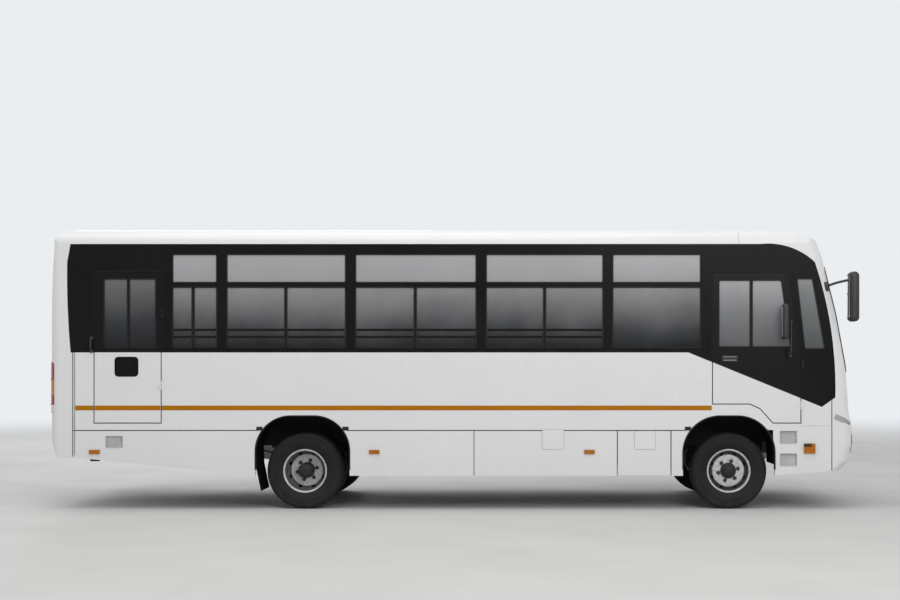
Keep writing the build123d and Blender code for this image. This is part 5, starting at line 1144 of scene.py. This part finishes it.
TRIM_LINE = [(4.296, 1.048), (4.350, 1.030), (4.400, 1.005), (4.440, 0.976), (4.466, 0.955)]
corner_trim = sweep(corner_line(TRIM_LINE, 0.001), bar(0.030, 0.003), ACROSS)
piece("corner_trim", both_sides([corner_trim]), JOINT_SHADE)


# Windscreen and rear window: rubber round the pane, and two wipers
def ring_on(loop, skin, proud, outline):
    """A bead that follows a closed loop on the nose or the tail."""
    return sweep(laid(loop, skin, proud), outline, (1, 0, 0), True)


screen_seal = ring_on(cut_frame(1.130, 1.560, 2.740, 0.048), nose_x, 0.002, oval(0.011, 0.006, 10, 0.8))
rear_seal = ring_on(cut_frame(0.900, 1.830, 2.700, 0.030), tail_x, -0.002, oval(0.010, 0.006, 10, 0.8))
piece("screen_seals", [screen_seal, rear_seal], SEAL)
WIPER_Z = 1.510
WIPER_HUB = [(0, -0.01), (0.022, -0.01), (0.022, 0.020), (0.015, 0.030), (0, 0.030)]
wipers = []
for pivot, tip in ((0.62, -0.02), (-0.10, -0.74)):
    wipers.append(spin(WIPER_HUB, (float(nose_x(pivot, WIPER_Z)), pivot, WIPER_Z), (1, 0, 0.1), 20))
    middle = (pivot + tip) / 2 - 0.06
    arm = laid([(pivot, WIPER_Z), (pivot - 0.12, 1.575), (middle, 1.640)], nose_x, 0.026, False)
    blade = laid([(tip, 1.650), (pivot - 0.16, 1.628)], nose_x, 0.014, False, 0.1)
    wipers += [sweep(arm, bar(0.010, 0.004), (1, 0, 0)), sweep(blade, bar(0.007, 0.010), (1, 0, 0))]
piece("wipers", wipers, "black_plastic")

# Lamps: bowls and housings behind the clear lenses, beads round lenses and grille, bars across the tail lamps
LAMP_Z = 0.745
LAMP_FRAME = [(y + 0.935, z) for y, z in cut_frame(0.175, 0.640, 0.850, 0.036)]
GRILLE_FRAME = cut_frame(0.520, 0.620, 0.900, 0.030)
beads = [
    ring_on(frame_line, nose_x, 0.001, oval(0.007, 0.006, 8))
    for frame_line in (LAMP_FRAME, [(-y, z) for y, z in LAMP_FRAME], GRILLE_FRAME)
]
piece("lamp_beads", beads, "black_plastic")
LAMPS = [
    # y and radius of each bowl
    (0.850, 0.078), (1.010, 0.070),
]
BOWL_DEEP = 0.055
BULB = [(0, 0), (0.014, 0), (0.014, 0.020), (0.010, 0.028), (0, 0.030)]
bowls = []
housings = []
for hand in (-1, 1):
    for y, size in LAMPS:
        rise = np.linspace(0, 1, 7)
        bowl = [(size * math.sqrt(t), BOWL_DEEP * t) for t in rise]
        bowl += [(r + 0.002, h - 0.003) for r, h in bowl[::-1]] + [(0, -0.003)]
        bowls.append(spin(bowl, (4.392, hand * y, LAMP_Z), (1, 0, 0), 40))
        bowls.append(spin(BULB, (4.396, hand * y, LAMP_Z), (1, 0, 0), 20))
    low_y, high_y = sorted((hand * 0.768, hand * 1.100))
    housings.append(block((4.350, low_y, 0.652), (4.388, high_y, 0.838), 0.012))
piece("lamp_bowls", bowls, REFLECTOR)
piece("lamp_housings", housings, "black_plastic")
TAIL_CORNER_R = 0.1305
turn = np.radians(np.linspace(0, 32, 6))
tail_bar = [(TAIL_X - 0.0105, 1.040)] + [
    (TAIL_X + 0.120 - TAIL_CORNER_R * math.cos(t), 1.080 + TAIL_CORNER_R * math.sin(t)) for t in turn
]
tail_bars = [
    sweep(np.array([(x, hand * y, z) for x, y in tail_bar]), bar(0.003, 0.005))
    for z in (1.185, 1.285, 1.467) for hand in (-1, 1)
]
piece("tail_lamp_bars", tail_bars, "black_plastic")

# Mirrors: a round-edged head with its glass, on a bent rod from a foot
ear_parts = [
    block((4.425, -1.390, 2.120), (4.535, -1.190, 2.680), 0.048, 6),
    rod([(4.200, -1.160, 2.520), (4.300, -1.240, 2.560), (4.440, -1.290, 2.590)], 0.060, 0.028),
    block((4.165, -1.188, 2.465), (4.235, -1.130, 2.575), 0.014),
]
ear_glass = block((4.4235, -1.345, 2.165), (4.432, -1.235, 2.635), 0.003)
piece("ear_mirror_heads", both_sides(ear_parts), "black_plastic", slot="black_plastic",
      replaces=("ear_mirrors",))
piece("ear_mirror_glass", both_sides([ear_glass]), MIRROR_GLASS)
KNUCKLE = [(0, -0.012), (0.017, -0.012), (0.017, 0.012), (0, 0.012)]
door_parts = [
    block((3.676, -1.390, 1.920), (3.744, -1.232, 2.320), 0.033, 6),
    rod([(3.775, -1.262, 1.750), (3.775, -1.330, 1.768), (3.775, -1.330, 2.138)], 0.022, 0.020),
    rod([(3.775, -1.330, 2.120), (3.750, -1.328, 2.120), (3.722, -1.315, 2.120)], 0.010, 0.018),
    block((3.756, -1.290, 1.720), (3.794, -1.200, 1.776), 0.010),
    spin(KNUCKLE, (3.775, -1.330, 2.120), (0, 0, 1), 20),
]
door_glass = block((3.6745, -1.358, 1.952), (3.681, -1.264, 2.288), 0.003)
piece("door_mirror_head", door_parts, "black_plastic", "driver_door", "black_plastic", ("door_mirror",))
piece("door_mirror_glass", [door_glass], MIRROR_GLASS, "driver_door")

# Seats: crowned pads with sewn channels
spots = [(x, -y) for x in RIGHT_ROWS for y in ROW_YS] + [(x, y) for x in LEFT_ROWS for y in ROW_YS]
spots += [(BENCH_X, y) for y in BENCH_YS]
UPRIGHT = (2, 1, 0)
CHANNELS = (-0.42, 0.42)
DRIVER_CHANNELS = (-0.6, 0.6)
PAD_ROOM = 0.006
deep, wide, thick = CUSHION
cushion_z = CUSHION_TOP - thick / 2 - 0.004
cushions = [
    pad((x, y, cushion_z), (deep / 2, wide / 2, thick / 2 - PAD_ROOM), 0.012, CHANNELS, steps=13)
    for x, y in spots
]
thin, wide, high = BACK
back_x = -(deep + thin) / 2 - 0.003
back_z = CUSHION_TOP - thick + high / 2
backs = [
    pad((x + back_x, y, back_z), (high / 2, wide / 2, thin / 2 - PAD_ROOM), 0.010, CHANNELS, UPRIGHT, 13)
    for x, y in spots
]
driver_pads = [
    pad((3.280, -0.760, 1.480), (0.238, 0.238, 0.050), 0.014, DRIVER_CHANNELS),
    pad((2.988, -0.760, 1.775), (0.343, 0.238, 0.044), 0.012, DRIVER_CHANNELS, UPRIGHT),
]
seat = {"material": "seat_cloth", "slot": "seat_cloth"}
piece("seat_cushion_pads", cushions, **seat, replaces=("seat_cushions",))
piece("seat_back_pads", backs, **seat, replaces=("seat_backs",))
piece("driver_seat_pads", driver_pads, **seat, replaces=("driver_seat",))
driver_base = block((3.130, -0.910, 1.092), (3.430, -0.610, 1.425), 0.030)
piece("driver_seat_base", [driver_base], "grey_plastic", replaces=("driver_seat",))

# Service door: rubber round its panes and a pull bar on both leaves
LEAF_PANES_Z = [(0.565, 1.330), (1.385, 2.627)]
PULL_IN, PULL_OUT = 1.130, 1.164
for leaf, x0, x1, pull_x in (("front", 2.138, 2.528, 2.175), ("rear", 1.742, 2.132, 2.095)):
    panes = [corners(x0 + 0.055, x1 - 0.055, z0, z1) for z0, z1 in LEAF_PANES_Z]
    piece(f"service_seals_{leaf}", seals(panes, SIDE_Y, 0.020), SEAL, f"service_leaf_{leaf}")
    pull_line = [(PULL_OUT, 1.10), (PULL_IN, 1.12), (PULL_IN, 1.78), (PULL_OUT, 1.80)]
    pull = rod([(pull_x, y, z) for y, z in pull_line], 0.020, 0.018)
    piece(f"service_pull_{leaf}", [pull], BRIGHT, f"service_leaf_{leaf}")

# Camera, light and floor
CAMERA_AT = (0.6803, -16.2, 1.610)
FOCAL_PX = 1327.0
IMAGE_WIDE, IMAGE_HIGH = 900.0, 600.0
VANISH_PX = (515.0, 367.0)
camera = bpy.data.objects.new("camera", bpy.data.cameras.new("camera"))
camera.location = CAMERA_AT
camera.rotation_euler = (math.pi / 2, 0, 0)
camera.data.sensor_width = 36.0
camera.data.lens = FOCAL_PX / IMAGE_WIDE * 36.0
camera.data.shift_x = -(VANISH_PX[0] - IMAGE_WIDE / 2) / IMAGE_WIDE
camera.data.shift_y = (VANISH_PX[1] - IMAGE_HIGH / 2) / IMAGE_WIDE
camera.data.clip_end = 400.0
bpy.context.scene.collection.objects.link(camera)
bpy.context.scene.camera = camera


BACKDROP = (0.83, 0.85, 0.87)


def pale_background():
    """A soft sky for light; to the camera and in reflections it is a plain pale backdrop."""
    world = bpy.data.worlds.new("studio")
    world.use_nodes = True
    tree = world.node_tree
    tree.nodes.clear()
    path = node(tree, "LightPath").outputs
    seen = calc(tree, "MAXIMUM", path["Is Camera Ray"], path["Is Glossy Ray"])
    seen = calc(tree, "MAXIMUM", seen, path["Is Transmission Ray"])
    light = node(tree, "Background", (("Color", (0.975, 0.982, 1.0, 1)), ("Strength", 0.62)))
    plain = node(tree, "Background", (("Color", (*BACKDROP, 1)), ("Strength", 1.0)))
    mix = node(tree, "MixShader", ((0, seen), (1, light.outputs[0]), (2, plain.outputs[0])))
    out = node(tree, "OutputWorld")
    tree.links.new(mix.outputs[0], out.inputs["Surface"])
    bpy.context.scene.world = world


def lamp(name, at, aim, size, power, colour=(1, 1, 1)):
    """A square soft light at a place, turned to its aim."""
    data = bpy.data.lights.new(name, "AREA")
    data.shape = "SQUARE"
    data.size = size
    data.energy = power
    data.color = colour
    made = bpy.data.objects.new(name, data)
    made.location = at
    direction = np.array(aim, float) - np.array(at, float)
    yaw = math.atan2(direction[1], direction[0])
    pitch = math.atan2(np.hypot(direction[0], direction[1]), -direction[2])
    made.rotation_euler = (pitch, 0, yaw - math.pi / 2)
    bpy.context.scene.collection.objects.link(made)


pale_background()
lamp("sky light", (-2, -4, 14), (0, 0, 1.5), 12.0, 950.0)
lamp("side light", (6, -15, 8), (0, 0, 1.5), 9.0, 760.0)
lamp("far light", (-6, 14, 8), (0, 0, 1.5), 9.0, 500.0)

GROUND = finish(
    "pale studio floor", (0.56, 0.552, 0.54), (0.52, 0.513, 0.502), (0.7, 0.85), clouds=0.8, grain=30.0,
    relief=0.001, strength=0.15,
)


def fade_into_backdrop(material, near, far):
    """Far from the bus the floor takes the backdrop's colour: a share that grows with the distance from the
    middle."""
    tree = material.node_tree
    away = node(tree, "VectorMath", ((0, place(tree)),), operation="LENGTH").outputs["Value"]
    share = spread(tree, away, near, far, interpolation_type="SMOOTHSTEP")
    plain = node(tree, "Emission", (("Color", (*BACKDROP, 1)), ("Strength", 1.0)))
    surface = tree.nodes["Principled BSDF"].outputs[0]
    mix = node(tree, "MixShader", ((0, share), (1, surface), (2, plain.outputs[0])))
    tree.links.new(mix.outputs[0], tree.nodes["Material Output"].inputs["Surface"])


fade_into_backdrop(GROUND, 9.0, 30.0)
floor_mesh = bpy.data.meshes.new("ground")
span = np.array([(-1, -1, 0), (1, -1, 0), (1, 1, 0), (-1, 1, 0)], float) * 90.0
floor_mesh.from_pydata(span.tolist(), [], [(0, 1, 2, 3)])
floor_mesh.materials.append(GROUND)
ground = bpy.data.objects.new("ground", floor_mesh)
bpy.context.scene.collection.objects.link(ground)

bpy.context.scene.view_settings.view_transform = "Standard"
